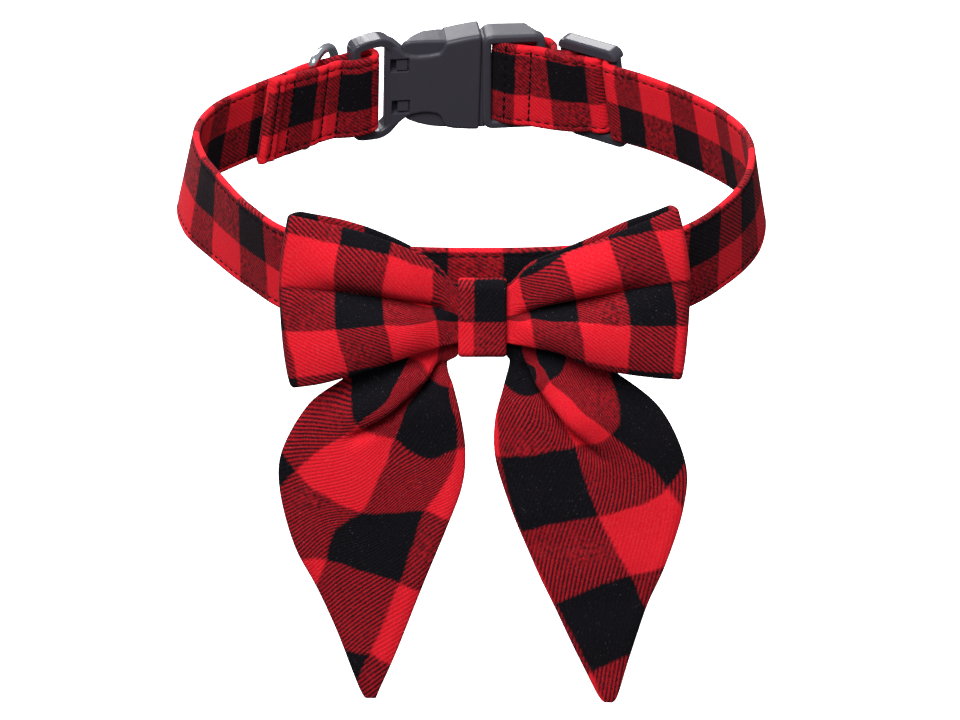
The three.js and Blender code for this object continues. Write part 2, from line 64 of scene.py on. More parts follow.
def in_photo(places):
    """Pixels of the photograph where places in millimetres are seen: across and up from the target, each
    times the lens in pixels and divided by the distance along the line of sight."""
    away = places - TARGET
    up = np.array([0.0, math.sin(ELEVATION), math.cos(ELEVATION)])
    scale = LENS / SENSOR * PHOTO["width"] / (DISTANCE - away @ toward_camera)
    across = PHOTO["width"] / 2 + scale * away[..., 0]
    down = PHOTO["height"] / 2 - scale * (away @ up)
    return np.stack([across, down], axis=-1)


# The studio: a white table below the collar and a white room round it, so bright that they show no shadow.
# A broad soft light stands above and in front, and two behind silver the upper faces of the plastic.
FLOOR_DEPTH = -150.0
FLOOR_SIZE = 1300.0
FLOOR_COLOUR = "#FFFFFF"
FLOOR_GLOW = 1.0
ROOM_ABOVE = "#A9ACB2"
ROOM_BELOW = "#48494D"
SOFT_LIGHTS = [
    {"name": "front_top", "place": (-250.0, -900.0, 1050.0), "size": 700.0, "watts": 27.0},
    {"name": "behind_top", "place": (-80.0, 985.0, 960.0), "size": 480.0, "watts": 8.0},
    {"name": "behind_left", "place": (-520.0, 998.0, 754.0), "size": 640.0, "watts": 13.0},
]


def linear(hex_colour, alpha=1.0):
    """An sRGB hex colour as linear red, green, blue and alpha."""
    parts = np.array([int(hex_colour[i : i + 2], 16) for i in (1, 3, 5)]) / 255
    parts = np.where(parts <= 0.04045, parts / 12.92, ((parts + 0.055) / 1.055) ** 2.4)
    return (*parts.tolist(), alpha)


def add(tree, kind, inputs=None, **settings):
    """One shader node of that kind. The settings are its properties, and inputs gives each socket a value
    or the output that feeds it."""
    node = tree.nodes.new("ShaderNode" + kind)
    for name, value in settings.items():
        setattr(node, name, value)
    for socket, value in (inputs or {}).items():
        if isinstance(value, bpy.types.NodeSocket):
            tree.links.new(value, node.inputs[socket])
        else:
            node.inputs[socket].default_value = value
    return node


def new_material(name):
    """An empty material and its node tree."""
    material = bpy.data.materials.new(name)
    material.use_nodes = True
    material.node_tree.nodes.clear()
    return material, material.node_tree


floor_mesh = bpy.data.meshes.new("white_sweep")
reach = FLOOR_SIZE / 2000
sweep_corners = ((-reach, -reach), (reach, -reach), (reach, reach), (-reach, reach))
floor_mesh.from_pydata([(x, y, FLOOR_DEPTH / 1000) for x, y in sweep_corners], [], [(0, 1, 2, 3)])
white_sweep = bpy.data.objects.new("white_sweep", floor_mesh)
bpy.context.scene.collection.objects.link(white_sweep)
sweep_paint, tree = new_material("matt_white_paint")
# Matt white paint has no gloss, and the glow stands for the lamps that studios turn on the sweep.
shader = add(
    tree,
    "BsdfPrincipled",
    {
        "Base Color": linear(FLOOR_COLOUR),
        "Roughness": 1.0,
        "Specular IOR Level": 0.0,
        "Emission Color": linear(FLOOR_COLOUR),
        "Emission Strength": FLOOR_GLOW,
    },
)
add(tree, "OutputMaterial", {"Surface": shader.outputs[0]})
floor_mesh.materials.append(sweep_paint)
# Lit cloth takes no light from the table, which would flatten its folds from below.
white_sweep.visible_diffuse = False
# Nor do the buckle and the ring mirror it, which would turn their dark sides white.
white_sweep.visible_glossy = False

for light in SOFT_LIGHTS:
    data = bpy.data.lights.new(light["name"], "AREA")
    data.shape = "SQUARE"
    data.size = light["size"] / 1000
    data.energy = light["watts"]
    lamp = bpy.data.objects.new(light["name"], data)
    place = np.array(light["place"])
    lamp.location = place / 1000
    aim = TARGET - place
    lamp.rotation_euler = (
        math.atan2(math.hypot(aim[0], aim[1]), -aim[2]),
        0,
        math.atan2(aim[1], aim[0]) - math.pi / 2,
    )
    bpy.context.scene.collection.objects.link(lamp)

room = bpy.data.worlds.new("pale_room")
room.use_nodes = True
room.node_tree.nodes.clear()
heading = add(room.node_tree, "TexCoord").outputs["Generated"]
height = add(room.node_tree, "SeparateXYZ", {"Vector": heading}).outputs["Z"]
raised = add(room.node_tree, "MapRange", {"Value": height, "From Min": -0.5, "From Max": 0.5})
walls = add(
    room.node_tree,
    "Mix",
    {0: raised.outputs["Result"], 6: linear(ROOM_BELOW), 7: linear(ROOM_ABOVE)},
    data_type="RGBA",
)
shaded = add(room.node_tree, "Background", {"Color": walls.outputs[2], "Strength": 1.0})
backdrop = add(room.node_tree, "Background", {"Color": linear("#FFFFFF"), "Strength": 1.0})
# The lens sees a room as white as the table, while the collar is lit and mirrored by a dimmer one.
seen = add(room.node_tree, "LightPath").outputs["Is Camera Ray"]
both = add(room.node_tree, "MixShader", {0: seen, 1: shaded.outputs[0], 2: backdrop.outputs[0]})
add(room.node_tree, "OutputWorld", {"Surface": both.outputs[0]})
bpy.context.scene.world = room
bpy.context.scene.view_settings.view_transform = "Standard"
bpy.context.scene.view_settings.look = "None"

# The collar strap is a flannel sleeve 25 mm wide round a soft core, turned at its edges and stitched down.
# It runs from its sewn end inside the loop, round the buckle's bars and the slide, to its end at the slide.
STRAP = {"width": 25.0, "thickness": 2.0, "rounding": 1.0, "check_along": 13.1, "check_round": 12.4}
STRAP_FOLDED_END = {"length": 5.0, "factor": 1.6}
STRAP_STITCH = {"inset": 2.1, "pitch": 2.9, "length": 2.2, "width": 0.6, "height": 0.34}
STITCH_GROOVE = {"depth": 0.25, "width": 0.45, "pucker": 0.25}
CROSS_SEAM_GROOVE = {"depth": 0.55, "width": 0.7}
HARDWARE_LEAN = 11.0
BUCKLE = {"x": 0.7, "y": 71.8, "heading": 8.0}
FRAME_BEND = {"x": -26.0, "y": -2.0, "turn": 16.0}
GLIDE = {"x": 33.8, "y": 62.9, "heading": -38.0}
SMALL_CHECK = 12.6
TWILL_PITCH = 0.97
FLANNEL_RED = "#DC1625"
FLANNEL_BLACK = "#0F0E11"
FLANNEL_RED_NAP = "#E84853"
FLANNEL_BLACK_NAP = "#28262D"
FLANNEL_LINT = "#8C868E"
FLANNEL_SHEEN = "#FFC9D0"
CROSSED = {"least_red": 0.06, "most_red": 0.54}
# Where the columns of checks start across the strap in the photograph: for each stretch of the line below,
# given by its first and last row, the pixels across and the column. Even columns are red.
STRAP_COLUMNS = [
    ((0, 6), [(288.5, 1), (312.5, 2), (336.5, 3), (369.5, 4)]),
    ((11, 16), [(248, 0), (222, 1), (205, 2)]),
    ((16, 21), [(185, 0), (199, 1), (217, 2), (243, 3), (269, 4), (294, 5)]),
    ((21, 24), [(449, 0), (502, 1), (560, 2)]),
    ((24, 27), [(684, 1), (716, 2), (738, 3), (752, 4), (764, 5)]),
    ((27, 31), [(750, 0), (736, 1), (723.5, 2), (701, 3), (675, 4), (645, 5), (618.5, 6)]),
    ((44, 51), [(493, 1), (515, 2), (551, 3), (590, 4)]),
]
# How far below the strap's top its first whole row of checks starts, on each face, at rows of the line.
OUTER_ROW_START = {"rows": [0, 6, 9, 16, 27, 40, 49], "start": [3.8, 3.8, 2.0, 0.7, 0.7, 2.6, 2.6]}
INNER_ROW_START = {"rows": [0, 11, 16, 27, 31, 40], "start": [2.0, 1.6, 1.6, 0.5, 0.5, 2.0]}
# Folded back on itself the cloth stands higher, by this much at rows of the line.
STRAP_EXTRA = {
    "rows": [0, 1, 2, 6, 8, 43, 44.5, 47, 48.5],
    "height": [2.4, 2.0, 0.9, 0.6, 0, 0, 2.0, 2.0, 0],
}
# Seams sewn across the strap: the stretch of the line, the pixels across where each is seen, and how
# tightly it is drawn in. Where two ends are joined, several rows of stitches lie over each other.
CROSS_SEAMS = [
    ((0, 6), 271.5, 1.0),
    ((0, 6), 288.5, 0.6),
    ((0, 6), 323, 1.0),
    ((0, 6), 337.5, 0.5),
    ((44, 48), 530, 0.9),
    ((44, 48), 506, 0.4),
]
# The noises in the cloth: features in a metre, levels of detail, and how rough the finer levels are. The
# nap is about 0.4 mm long, the yarns drift out of line over 6 mm, and rubbed places are about 16 mm
# across. The blots into which the nap felts two colours are about 0.5 mm, drawn here at 1 mm to be seen.
CLOTH_NOISE = {
    "nap": (2300.0, 3.0, 0.6),
    "drift": (160.0, 2.0, 0.5),
    "rubbed": (62.0, 3.0, 0.6),
    "blots": (1000.0, 2.0, 0.5),
    "lint": (3300.0, 0.0, 0.5),
}
# The slant of the ribs in degrees, the softness of a check's edge and of a rib's edge, and how far the nap
# frays both and the yarns drift, in whole checks or ribs.
WEAVE = {
    "slant": 35,
    "check_edge": 0.07,
    "rib_edge": 0.6,
    "check_fray": 0.06,
    "rib_fray": 0.9,
    "drift": 0.09,
}


def flannel(name, check, turned, worn_from):
    """Brushed cotton flannel in an even two-colour check, read from the UV map "cloth" in whole checks.
    It is a twill: where a red and a black yarn cross, slanting ribs show one, then the other. Brushing
    lifts a short nap that softens each edge, whitens the red a little and greys the black. Turned cloth
    is cut the other way, so its ribs rise where the others fall. The nap is felted where a slow noise is
    above worn_from."""
    material, tree = new_material(name)
    slant = math.radians(90 - WEAVE["slant"] if turned else WEAVE["slant"])
    ribs = check / TWILL_PITCH
    weights = (ribs * math.sin(slant) * (1 if turned else -1), ribs * math.cos(slant), 0.0)

    cloth = add(tree, "UVMap", uv_map="cloth").outputs["UV"]
    place = add(tree, "TexCoord").outputs["Object"]
    noise = {}
    for part, (per_metre, detail, rough) in CLOTH_NOISE.items():
        settings = {"Vector": place, "Scale": per_metre, "Detail": detail, "Roughness": rough}
        noise[part] = add(tree, "TexNoise", settings).outputs
    nap = noise["nap"]["Fac"]
    # Long nap pales the colours, the nap hides the ribs of a rubbed place, where blots of one colour
    # stand in the other, and specks of lint cling to it. Each starts at a noise's first value and is full
    # at the next.
    amount = {}
    for part, low, high, most in (
        ("nap", 0.35, 0.75, 0.34),
        ("rubbed", worn_from, worn_from + 0.23, 0.8),
        ("blots", 0.4, 0.62, 1.0),
        ("lint", 0.78, 0.88, 0.4),
    ):
        settings = {"Value": noise[part]["Fac"], "From Min": low, "From Max": high, "To Max": most}
        amount[part] = add(tree, "MapRange", settings).outputs["Result"]

    settings = {0: noise["drift"]["Color"], 1: (0.5, 0.5, 0.5)}
    centred = add(tree, "VectorMath", settings, operation="SUBTRACT").outputs["Vector"]
    settings = {0: centred, 1: (WEAVE["drift"], WEAVE["drift"], 0.0), 2: cloth}
    drifted = add(tree, "VectorMath", settings, operation="MULTIPLY_ADD").outputs["Vector"]
    settings = {0: nap, 1: WEAVE["check_fray"], 2: -WEAVE["check_fray"] / 2}
    frayed = add(tree, "Math", settings, operation="MULTIPLY_ADD").outputs["Value"]
    across = add(tree, "SeparateXYZ", {"Vector": drifted})
    stripes = []
    for axis, edge in (("X", WEAVE["check_edge"]), ("Y", -WEAVE["check_edge"])):
        moved = add(tree, "Math", {0: across.outputs[axis], 1: frayed}, operation="ADD").outputs[0]
        turn = add(tree, "Math", {0: moved, 1: math.pi}, operation="MULTIPLY").outputs[0]
        wave = add(tree, "Math", {0: turn}, operation="SINE").outputs[0]
        stripe = add(tree, "MapRange", {"Value": wave, "From Min": -edge, "From Max": edge})
        stripes.append(stripe.outputs["Result"])
    slanted = add(tree, "VectorMath", {0: cloth, 1: weights}, operation="DOT_PRODUCT").outputs["Value"]
    settings = {0: nap, 1: WEAVE["rib_fray"], 2: slanted}
    loosened = add(tree, "Math", settings, operation="MULTIPLY_ADD").outputs["Value"]
    turn = add(tree, "Math", {0: loosened, 1: 2 * math.pi}, operation="MULTIPLY").outputs[0]
    rib = add(tree, "Math", {0: turn}, operation="SINE").outputs["Value"]
    settings = {"Value": rib, "From Min": -WEAVE["rib_edge"], "From Max": WEAVE["rib_edge"]}
    ribbed = add(tree, "MapRange", settings).outputs["Result"]
    settings = {0: amount["rubbed"], 2: ribbed, 3: amount["blots"]}
    column_on_top = add(tree, "Mix", settings, data_type="FLOAT").outputs[0]
    settings = {0: column_on_top, 2: stripes[1], 3: stripes[0]}
    on_top = add(tree, "Mix", settings, data_type="FLOAT").outputs[0]
    # Where two colours cross, a rib is never wholly one colour: its red share runs only from least_red to
    # most_red, darker than an even mix.
    unlike = add(tree, "Math", {0: stripes[0], 1: stripes[1]}, operation="SUBTRACT").outputs["Value"]
    crossed = add(tree, "Math", {0: unlike}, operation="ABSOLUTE").outputs["Value"]
    span = CROSSED["most_red"] - CROSSED["least_red"]
    settings = {0: on_top, 1: span - 1.0, 2: CROSSED["least_red"]}
    change = add(tree, "Math", settings, operation="MULTIPLY_ADD").outputs["Value"]
    settings = {0: change, 1: crossed, 2: on_top}
    red = add(tree, "Math", settings, operation="MULTIPLY_ADD").outputs["Value"]

    dyes = []
    for plain, napped in ((FLANNEL_BLACK, FLANNEL_BLACK_NAP), (FLANNEL_RED, FLANNEL_RED_NAP)):
        settings = {0: amount["nap"], 6: linear(plain), 7: linear(napped)}
        dyes.append(add(tree, "Mix", settings, data_type="RGBA").outputs[2])
    woven = add(tree, "Mix", {0: red, 6: dyes[0], 7: dyes[1]}, data_type="RGBA").outputs[2]
    settings = {0: amount["lint"], 6: woven, 7: linear(FLANNEL_LINT)}
    dyed = add(tree, "Mix", settings, data_type="RGBA").outputs[2]

    relief = add(tree, "Math", {0: rib, 1: 0.5, 2: nap}, operation="MULTIPLY_ADD").outputs["Value"]
    bump = add(tree, "Bump", {"Strength": 0.5, "Distance": 0.0002, "Height": relief})
    shader = add(
        tree,
        "BsdfPrincipled",
        {
            "Base Color": dyed,
            "Roughness": 0.95,
            "Specular IOR Level": 0.03,
            "Sheen Weight": 0.04,
            "Sheen Roughness": 0.35,
            "Sheen Tint": linear(FLANNEL_SHEEN),
            "Normal": bump.outputs["Normal"],
        },
    )
    add(tree, "OutputMaterial", {"Surface": shader.outputs[0]})
    return material


def surface(name, places, quads, uvs, material):
    """A smooth mesh from corner places in millimetres, faces of four corners each, and one UV for each
    corner of each face. Corners that no face uses are left out."""
    used, compact = np.unique(quads, return_inverse=True)
    compact = compact.reshape(-1)
    mesh = bpy.data.meshes.new(name)
    mesh.vertices.add(len(used))
    mesh.vertices.foreach_set("co", (places[used] / 1000).astype(np.float32).reshape(-1))
    mesh.loops.add(len(compact))
    mesh.loops.foreach_set("vertex_index", compact.astype(np.int32))
    mesh.polygons.add(len(quads))
    mesh.polygons.foreach_set("loop_start", np.arange(0, len(compact), 4, dtype=np.int32))
    mesh.polygons.foreach_set("use_smooth", np.ones(len(quads), dtype=bool))
    if uvs is not None:
        layer = mesh.uv_layers.new(name="cloth")
        layer.data.foreach_set("uv", uvs.astype(np.float32).reshape(-1))
    mesh.update()
    mesh.validate()
    mesh.materials.append(material)
    made = bpy.data.objects.new(name, mesh)
    bpy.context.scene.collection.objects.link(made)
    return made


def grid_corners(grid):
    """The four corners of each face of a grid, in order: along a row step, then across a column step."""
    faces = np.stack([grid[:-1, :-1], grid[1:, :-1], grid[1:, 1:], grid[:-1, 1:]], axis=2)
    return faces.reshape(-1, 4, *grid.shape[2:])


def rim_distance(places, axis):
    """Length along the grid to the nearer of its two rims: the running sum of the steps from one rim, or
    the whole length less that sum, whichever is smaller."""
    steps = np.linalg.norm(np.diff(places, axis=axis), axis=-1)
    start = np.zeros_like(np.take(steps, [0], axis=axis))
    run = np.concatenate([start, np.cumsum(steps, axis=axis)], axis=axis)
    return np.minimum(run, np.take(run, [-1], axis=axis) - run)


def normals_of(middle, ring):
    """The normal at each place of a grid: the cross product of its row and its column direction."""
    if ring:
        along = np.roll(middle, -1, axis=0) - np.roll(middle, 1, axis=0)
    else:
        along = np.gradient(middle, axis=0)
    normal = np.cross(along, np.gradient(middle, axis=1))
    return normal / np.maximum(np.linalg.norm(normal, axis=-1, keepdims=True), 1e-9)


def thick_cloth(name, middle, half, rounding, uv, uv_back, material, ring=False):
    """A closed sheet of cloth round its middle surface. Each place moves to both sides along the normal by
    half the thickness h, which falls to nothing at a rim as a quarter circle does: h times the root of
    1 - (1 - d / rounding) squared, where d is the distance to the rim. Both sides share the rim's
    corners."""
    nearest = rim_distance(middle, 1)
    if not ring:
        nearest = np.minimum(nearest, rim_distance(middle, 0))
    inward = np.clip(nearest / rounding, 0, 1)
    offset = half * np.sqrt(1 - (1 - inward) ** 2)
    apart = normals_of(middle, ring) * offset[..., None]
    places = np.concatenate([(middle + apart).reshape(-1, 3), (middle - apart).reshape(-1, 3)])
    front = np.arange(middle.shape[0] * middle.shape[1]).reshape(middle.shape[:2])
    back = np.where(offset < 1e-6, front, front + front.size)
    if ring:
        front = np.vstack([front, front[:1]])
        back = np.vstack([back, back[:1]])
    quads = np.concatenate([grid_corners(front), grid_corners(back)[:, ::-1]])
    uvs = np.concatenate([grid_corners(uv), grid_corners(uv_back)[:, ::-1]])
    return surface(name, places, quads, uvs, material)


def cos_sin(degrees):
    """The cosine and the sine of an angle in degrees."""
    return math.cos(math.radians(degrees)), math.sin(math.radians(degrees))


def beside(piece, along, out):
    """Places beside a piece of hardware that leans with the strap, as x, y, z and the way the strap's top
    tips: along the piece's heading, and out from the neck at the lean."""
    c, s = cos_sin(piece["heading"])
    flat, rise = cos_sin(HARDWARE_LEAN)
    return [
        piece["x"] + along * c - out * flat * s,
        piece["y"] + along * s + out * flat * c,
        out * rise,
        rise * s,
        -rise * c,
    ]


def beside_frame(along, out, z=0.0):
    """Places beside the buckle's bent frame, which is turned on the buckle's body."""
    c, s = cos_sin(FRAME_BEND["turn"])
    place = beside(BUCKLE, FRAME_BEND["x"] + along * c - out * s, FRAME_BEND["y"] + along * s + out * c)
    place[2] += z
    return place


def free(x, y, lean, z=0.0):
    """A place on the free strap, whose top tips towards the neck by lean degrees."""
    tip = math.sin(math.radians(lean)) / math.hypot(x, y)
    return [x, y, z, -tip * x, -tip * y]


STRAP_LINE = [
    (free(-59.2, 38.0, 11, -0.3), 3),
    (free(-54.0, 43.4, 11, -0.7), 3),
    (free(-45.4, 50.4, 11, -0.2), 3),
    (free(-40.1, 54.4, 11, 0.2), 3),
    (beside_frame(-12.4, -4.4, 1.3), 2),
    (beside_frame(-8.4, -4.1, 1.2), 3),
    (beside_frame(-5.4, -2.5, 1.0), 2),
    (beside_frame(-4.7, 0.4, 0.8), 2),
    (beside_frame(-6.2, 3.1, 0.4), 3),
    (beside_frame(-9.8, 3.5), 2),
    (free(-38.4, 62.2, 11), 2),
    (free(-43.3, 58.8, 11), 2),
    (free(-49.3, 54.7, 11), 3),
    (free(-56.5, 46.2, 11), 3),
    (free(-63.6, 38.6, 11), 4),
    (free(-74.0, 24.4, 12), 4),
    (free(-78.2, 8.0, 13), 4),
    (free(-75.6, -9.0, 11), 4),
    (free(-69.3, -23.7, 5), 4),
    (free(-59.4, -43.0, -2), 4),
    (free(-47.6, -59.2, -5), 4),
    (free(-27.0, -68.4, -5), 4),
    (free(0.0, -70.9, -5), 4),
    (free(28.0, -68.6, -5), 4),
    (free(52.0, -58.2, -5), 4),
    (free(66.0, -39.6, 0), 4),
    (free(73.6, -20.5, 6), 4),
    (free(75.2, 3.0, 11), 4),
    (free(69.4, 19.8, 11), 4),
    (free(59.6, 34.2, 11), 4),
    (free(47.6, 46.8, 11), 3),
    (beside(GLIDE, 10.8, -3.0), 2),
    (beside(GLIDE, 7.2, -2.8), 2),
    (beside(GLIDE, 5.7, -0.6), 2),
    (beside(GLIDE, 5.1, 2.9), 2),
    (beside(GLIDE, 2.0, 4.9), 2),
    (beside(GLIDE, -1.8, 4.9), 2),
    (beside(GLIDE, -4.4, 2.4), 2),
    (beside(GLIDE, -6.0, -1.2), 2),
    (beside(GLIDE, -10.4, -3.1), 3),
    (beside(BUCKLE, 20.9, -2.4), 2),
    (beside(BUCKLE, 19.6, 0.2), 2),
    (beside(BUCKLE, 16.4, 0.9), 3),
    (beside(BUCKLE, 8.8, 0.6), 3),
    (beside(BUCKLE, 4.1, -1.8), 3),
    (beside(BUCKLE, 7.0, -4.6), 3),
    (beside(BUCKLE, 15.0, -7.2), 3),
    (beside(GLIDE, -10.4, -6.5), 3),
    (beside(GLIDE, -5.2, -4.8), 2),
    (beside(GLIDE, -1.6, -2.6), 2),
    (beside(GLIDE, 1.3, -2.4), 1),
    (beside(GLIDE, 2.8, -1.5), 1),
    (beside(GLIDE, 3.3, 0), 1),
    (beside(GLIDE, 2.8, 1.5), 1),
    (beside(GLIDE, 1.3, 2.4), 2),
    (beside(GLIDE, -0.8, 2.4), 0),
]


def strap_stations(per_step):
    """The strap's middle line as places and tips. Between two rows it is a cubic whose slope at a row
    weighs the steps before and after it by the root of their length, so it bends tightly without a
    loop."""
    rows = np.array([row for row, _ in STRAP_LINE])
    counts = [steps * per_step for _, steps in STRAP_LINE]
    span = np.concatenate([np.full(n, i) for i, n in enumerate(counts) if n] + [[len(rows) - 2]])
    part = np.concatenate([np.arange(n) / n for n in counts if n] + [[1.0]])[:, None]
    points = rows[:, :3]
    points = np.vstack([2 * points[0] - points[1], points, 2 * points[-1] - points[-2]])
    p0, p1, p2, p3 = (points[span + k] for k in range(4))
    steps = (p1 - p0, p2 - p1, p3 - p2)
    d0, d1, d2 = (np.linalg.norm(step, axis=1, keepdims=True) ** 0.5 for step in steps)
    slope1 = ((p1 - p0) / d0 - (p2 - p0) / (d0 + d1) + (p2 - p1) / d1) * d1
    slope2 = ((p2 - p1) / d1 - (p3 - p1) / (d1 + d2) + (p3 - p2) / d2) * d1
    c2 = -3 * p1 + 3 * p2 - 2 * slope1 - slope2
    c3 = 2 * p1 - 2 * p2 + slope1 + slope2
    places = p1 + slope1 * part + c2 * part**2 + c3 * part**3
    tips = rows[span, 3:] * (1 - part) + rows[span + 1, 3:] * part
    return places, tips, span + part[:, 0]


def column_numbers(run, rows, across, natural):
    """Check columns along the strap, straight lines between the places where the photograph shows one
    start. Whole pairs of columns are added to each stretch so that the numbers go on from the stretch
    before it."""
    known = []
    for (first, last), marks in STRAP_COLUMNS:
        stretch = (rows >= first) & (rows <= last)
        order = np.argsort(across[stretch])
        marks = np.array(marks, dtype=float)
        runs = np.interp(marks[:, 0], across[stretch][order], run[stretch][order])
        ahead = np.interp(runs, run, natural) - marks[:, 1]
        known.append(np.column_stack([runs, marks[:, 1] + 2 * np.round(ahead.mean() / 2)]))
    known = np.concatenate(known)
    known = known[np.argsort(known[:, 0])]
    drift = np.interp(run, known[:, 0], known[:, 1] - np.interp(known[:, 0], run, natural))
    return natural + drift


strap_places, strap_tips, strap_rows = strap_stations(4)
strap_up = np.column_stack([strap_tips, np.sqrt(1 - (strap_tips**2).sum(axis=1))])
strap_steps = np.linalg.norm(np.diff(strap_places, axis=0), axis=1)
strap_run = np.concatenate([[0], np.cumsum(strap_steps)])
strap_front = strap_run[np.argmin(np.abs(strap_places[:, 0]) + (strap_places[:, 1] > 0) * 999)]
near_rim = [0.0, 0.06, 0.22, 0.5, 0.9, 1.4, 1.75, STRAP_STITCH["inset"], 2.5, 3.0]
half_width = STRAP["width"] / 2
low_rim = np.array(near_rim) - half_width
strap_heights = np.concatenate([low_rim, np.linspace(4.2, 20.8, 10) - half_width, -low_rim[::-1]])
extra = np.interp(strap_rows, STRAP_EXTRA["rows"], STRAP_EXTRA["height"])[:, None]
lifted = strap_heights[None, :] + extra * (strap_heights[None, :] + half_width) / STRAP["width"]
strap_middle = strap_places[:, None, :] + strap_up[:, None, :] * lifted[..., None]
strap_across = in_photo(strap_places)[:, 0]
seam_runs = []
for (first, last), pixel, _ in CROSS_SEAMS:
    stretch = (strap_rows >= first) & (strap_rows <= last)
    order = np.argsort(strap_across[stretch])
    seam_runs.append(float(np.interp(pixel, strap_across[stretch][order], strap_run[stretch][order])))
folded = np.where(strap_run < STRAP_FOLDED_END["length"], STRAP_FOLDED_END["factor"], 1.0)
from_stitch = np.abs(half_width - np.abs(strap_heights)) - STRAP_STITCH["inset"]
puckered = STITCH_GROOVE["pucker"] * (np.cos(2 * math.pi * strap_run / STRAP_STITCH["pitch"]) - 1)
pucker = 1 + puckered
groove = STITCH_GROOVE["depth"] * np.exp(-((from_stitch / STITCH_GROOVE["width"]) ** 2))
from_seam = strap_run[:, None] - np.array(seam_runs)[None, :]
drawn_in = np.array([tightness for _, _, tightness in CROSS_SEAMS])
bell = np.exp(-((from_seam / CROSS_SEAM_GROOVE["width"]) ** 2))
sunk = (CROSS_SEAM_GROOVE["depth"] * drawn_in * bell).max(axis=1)
strap_half = STRAP["thickness"] / 2 * folded[:, None] - pucker[:, None] * groove[None, :] - sunk[:, None]
natural = (strap_run - strap_front) / STRAP["check_along"] + 0.5
columns = column_numbers(strap_run, strap_rows, strap_across, natural)
grid_along = np.broadcast_to(columns[:, None], strap_middle.shape[:2])
outer_start = np.interp(strap_rows, OUTER_ROW_START["rows"], OUTER_ROW_START["start"])[:, None]
inner_start = np.interp(strap_rows, INNER_ROW_START["rows"], INNER_ROW_START["start"])[:, None]
grid_outer = (half_width - strap_heights[None, :] - outer_start) / STRAP["check_round"]
grid_inner = (strap_heights[None, :] - half_width - inner_start) / STRAP["check_round"]
strap_flannel = flannel("brushed_flannel_small_check", SMALL_CHECK, turned=False, worn_from=0.36)
strap = thick_cloth(
    "strap_flannel",
    strap_middle,
    strap_half,
    STRAP["rounding"],
    np.stack([grid_along, grid_outer], axis=-1),
    np.stack([grid_along, grid_inner], axis=-1),
    strap_flannel,
)
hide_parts("collar_strap")
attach(strap, "collar")

# Black spun polyester thread closes the strap along both edges and holds its ends at the seams across it.
# Each stitch is a short raised float that dips into the cloth at both ends.
THREAD_BLACK = "#09080A"
# The lighter thread colour is a painted glint, mixed in at noise spots.
THREAD_PAINTED_GLINT = "#151418"
THREAD_RINGS = 5
THREAD_CORNERS = 6
# A tight seam has closer, longer and thicker stitches, because several rows lie over each other.
SEAM_PITCH = {"loose": 1.1, "tight": 0.8}
SEAM_LENGTH = {"loose": 0.7, "tight": 1.1}
SEAM_WIDTH = {"loose": 1.0, "tight": 2.4}


def sewn(line, outward, pitch, length):
    """Stitches along a line on the cloth: for each, places along it, its outward and its sideways
    direction. A stitch starts every pitch and is as long as length, and both are measured along the
    line."""
    steps = np.linalg.norm(np.diff(line, axis=0), axis=1)
    run = np.concatenate([[0], np.cumsum(steps)])
    starts = np.arange(pitch / 2, run[-1] - length, pitch)
    at = starts[:, None] + np.linspace(0, length, THREAD_RINGS)[None, :]
    centres = np.stack([np.interp(at, run, line[:, k]) for k in range(3)], axis=-1)
    out = np.stack([np.interp(at, run, outward[:, k]) for k in range(3)], axis=-1)
    ahead = centres[:, -1:] - centres[:, :1]
    side = np.cross(ahead / np.linalg.norm(ahead, axis=-1, keepdims=True), out)
    return centres, out, side


def threads(name, seams, width, height, material):
    """Sewn thread. A stitch is a few rings of corners, whose radius is the root of a half sine from one end
    to the other, flattened to the thread's height above the cloth."""
    centres, out, side = (np.concatenate([seam[k] for seam in seams]) for k in range(3))
    radius = np.sqrt(np.sin(np.linspace(0, math.pi, THREAD_RINGS)).clip(0))[None, :, None, None]
    angle = np.linspace(0, 2 * math.pi, THREAD_CORNERS + 1)[:-1][None, None, :, None]
    sideways = side[:, :, None, :] * np.cos(angle) * width / 2
    places = centres[:, :, None, :] + radius * (sideways + out[:, :, None, :] * np.sin(angle) * height / 2)
    ids = np.arange(places[..., 0].size).reshape(-1, THREAD_RINGS, THREAD_CORNERS)
    ids = np.concatenate([ids, ids[..., :1]], axis=2)
    quads = np.stack([ids[:, :-1, :-1], ids[:, 1:, :-1], ids[:, 1:, 1:], ids[:, :-1, 1:]], axis=-1)
    quads = quads.reshape(-1, 4)
    made = surface(name, places.reshape(-1, 3), quads, None, material)
    closed = made.modifiers.new("closed_ends", "WELD")
    closed.merge_threshold = 0.000001
    return made


thread, tree = new_material("spun_polyester_thread_black")
# Spun polyester sewing thread is matt. The little light its twist catches every half millimetre is painted
# into its colour as painted glints: noise spots of a lighter black.
place = add(tree, "TexCoord").outputs["Object"]
painted_glint_spots = add(tree, "TexNoise", {"Vector": place, "Scale": 1800.0, "Detail": 1.0}).outputs["Fac"]
settings = {0: painted_glint_spots, 6: linear(THREAD_BLACK), 7: linear(THREAD_PAINTED_GLINT)}
thread_with_painted_glints = add(tree, "Mix", settings, data_type="RGBA").outputs[2]
settings = {"Base Color": thread_with_painted_glints, "Roughness": 0.8, "Specular IOR Level": 0.05}
shader = add(tree, "BsdfPrincipled", settings)
add(tree, "OutputMaterial", {"Surface": shader.outputs[0]})

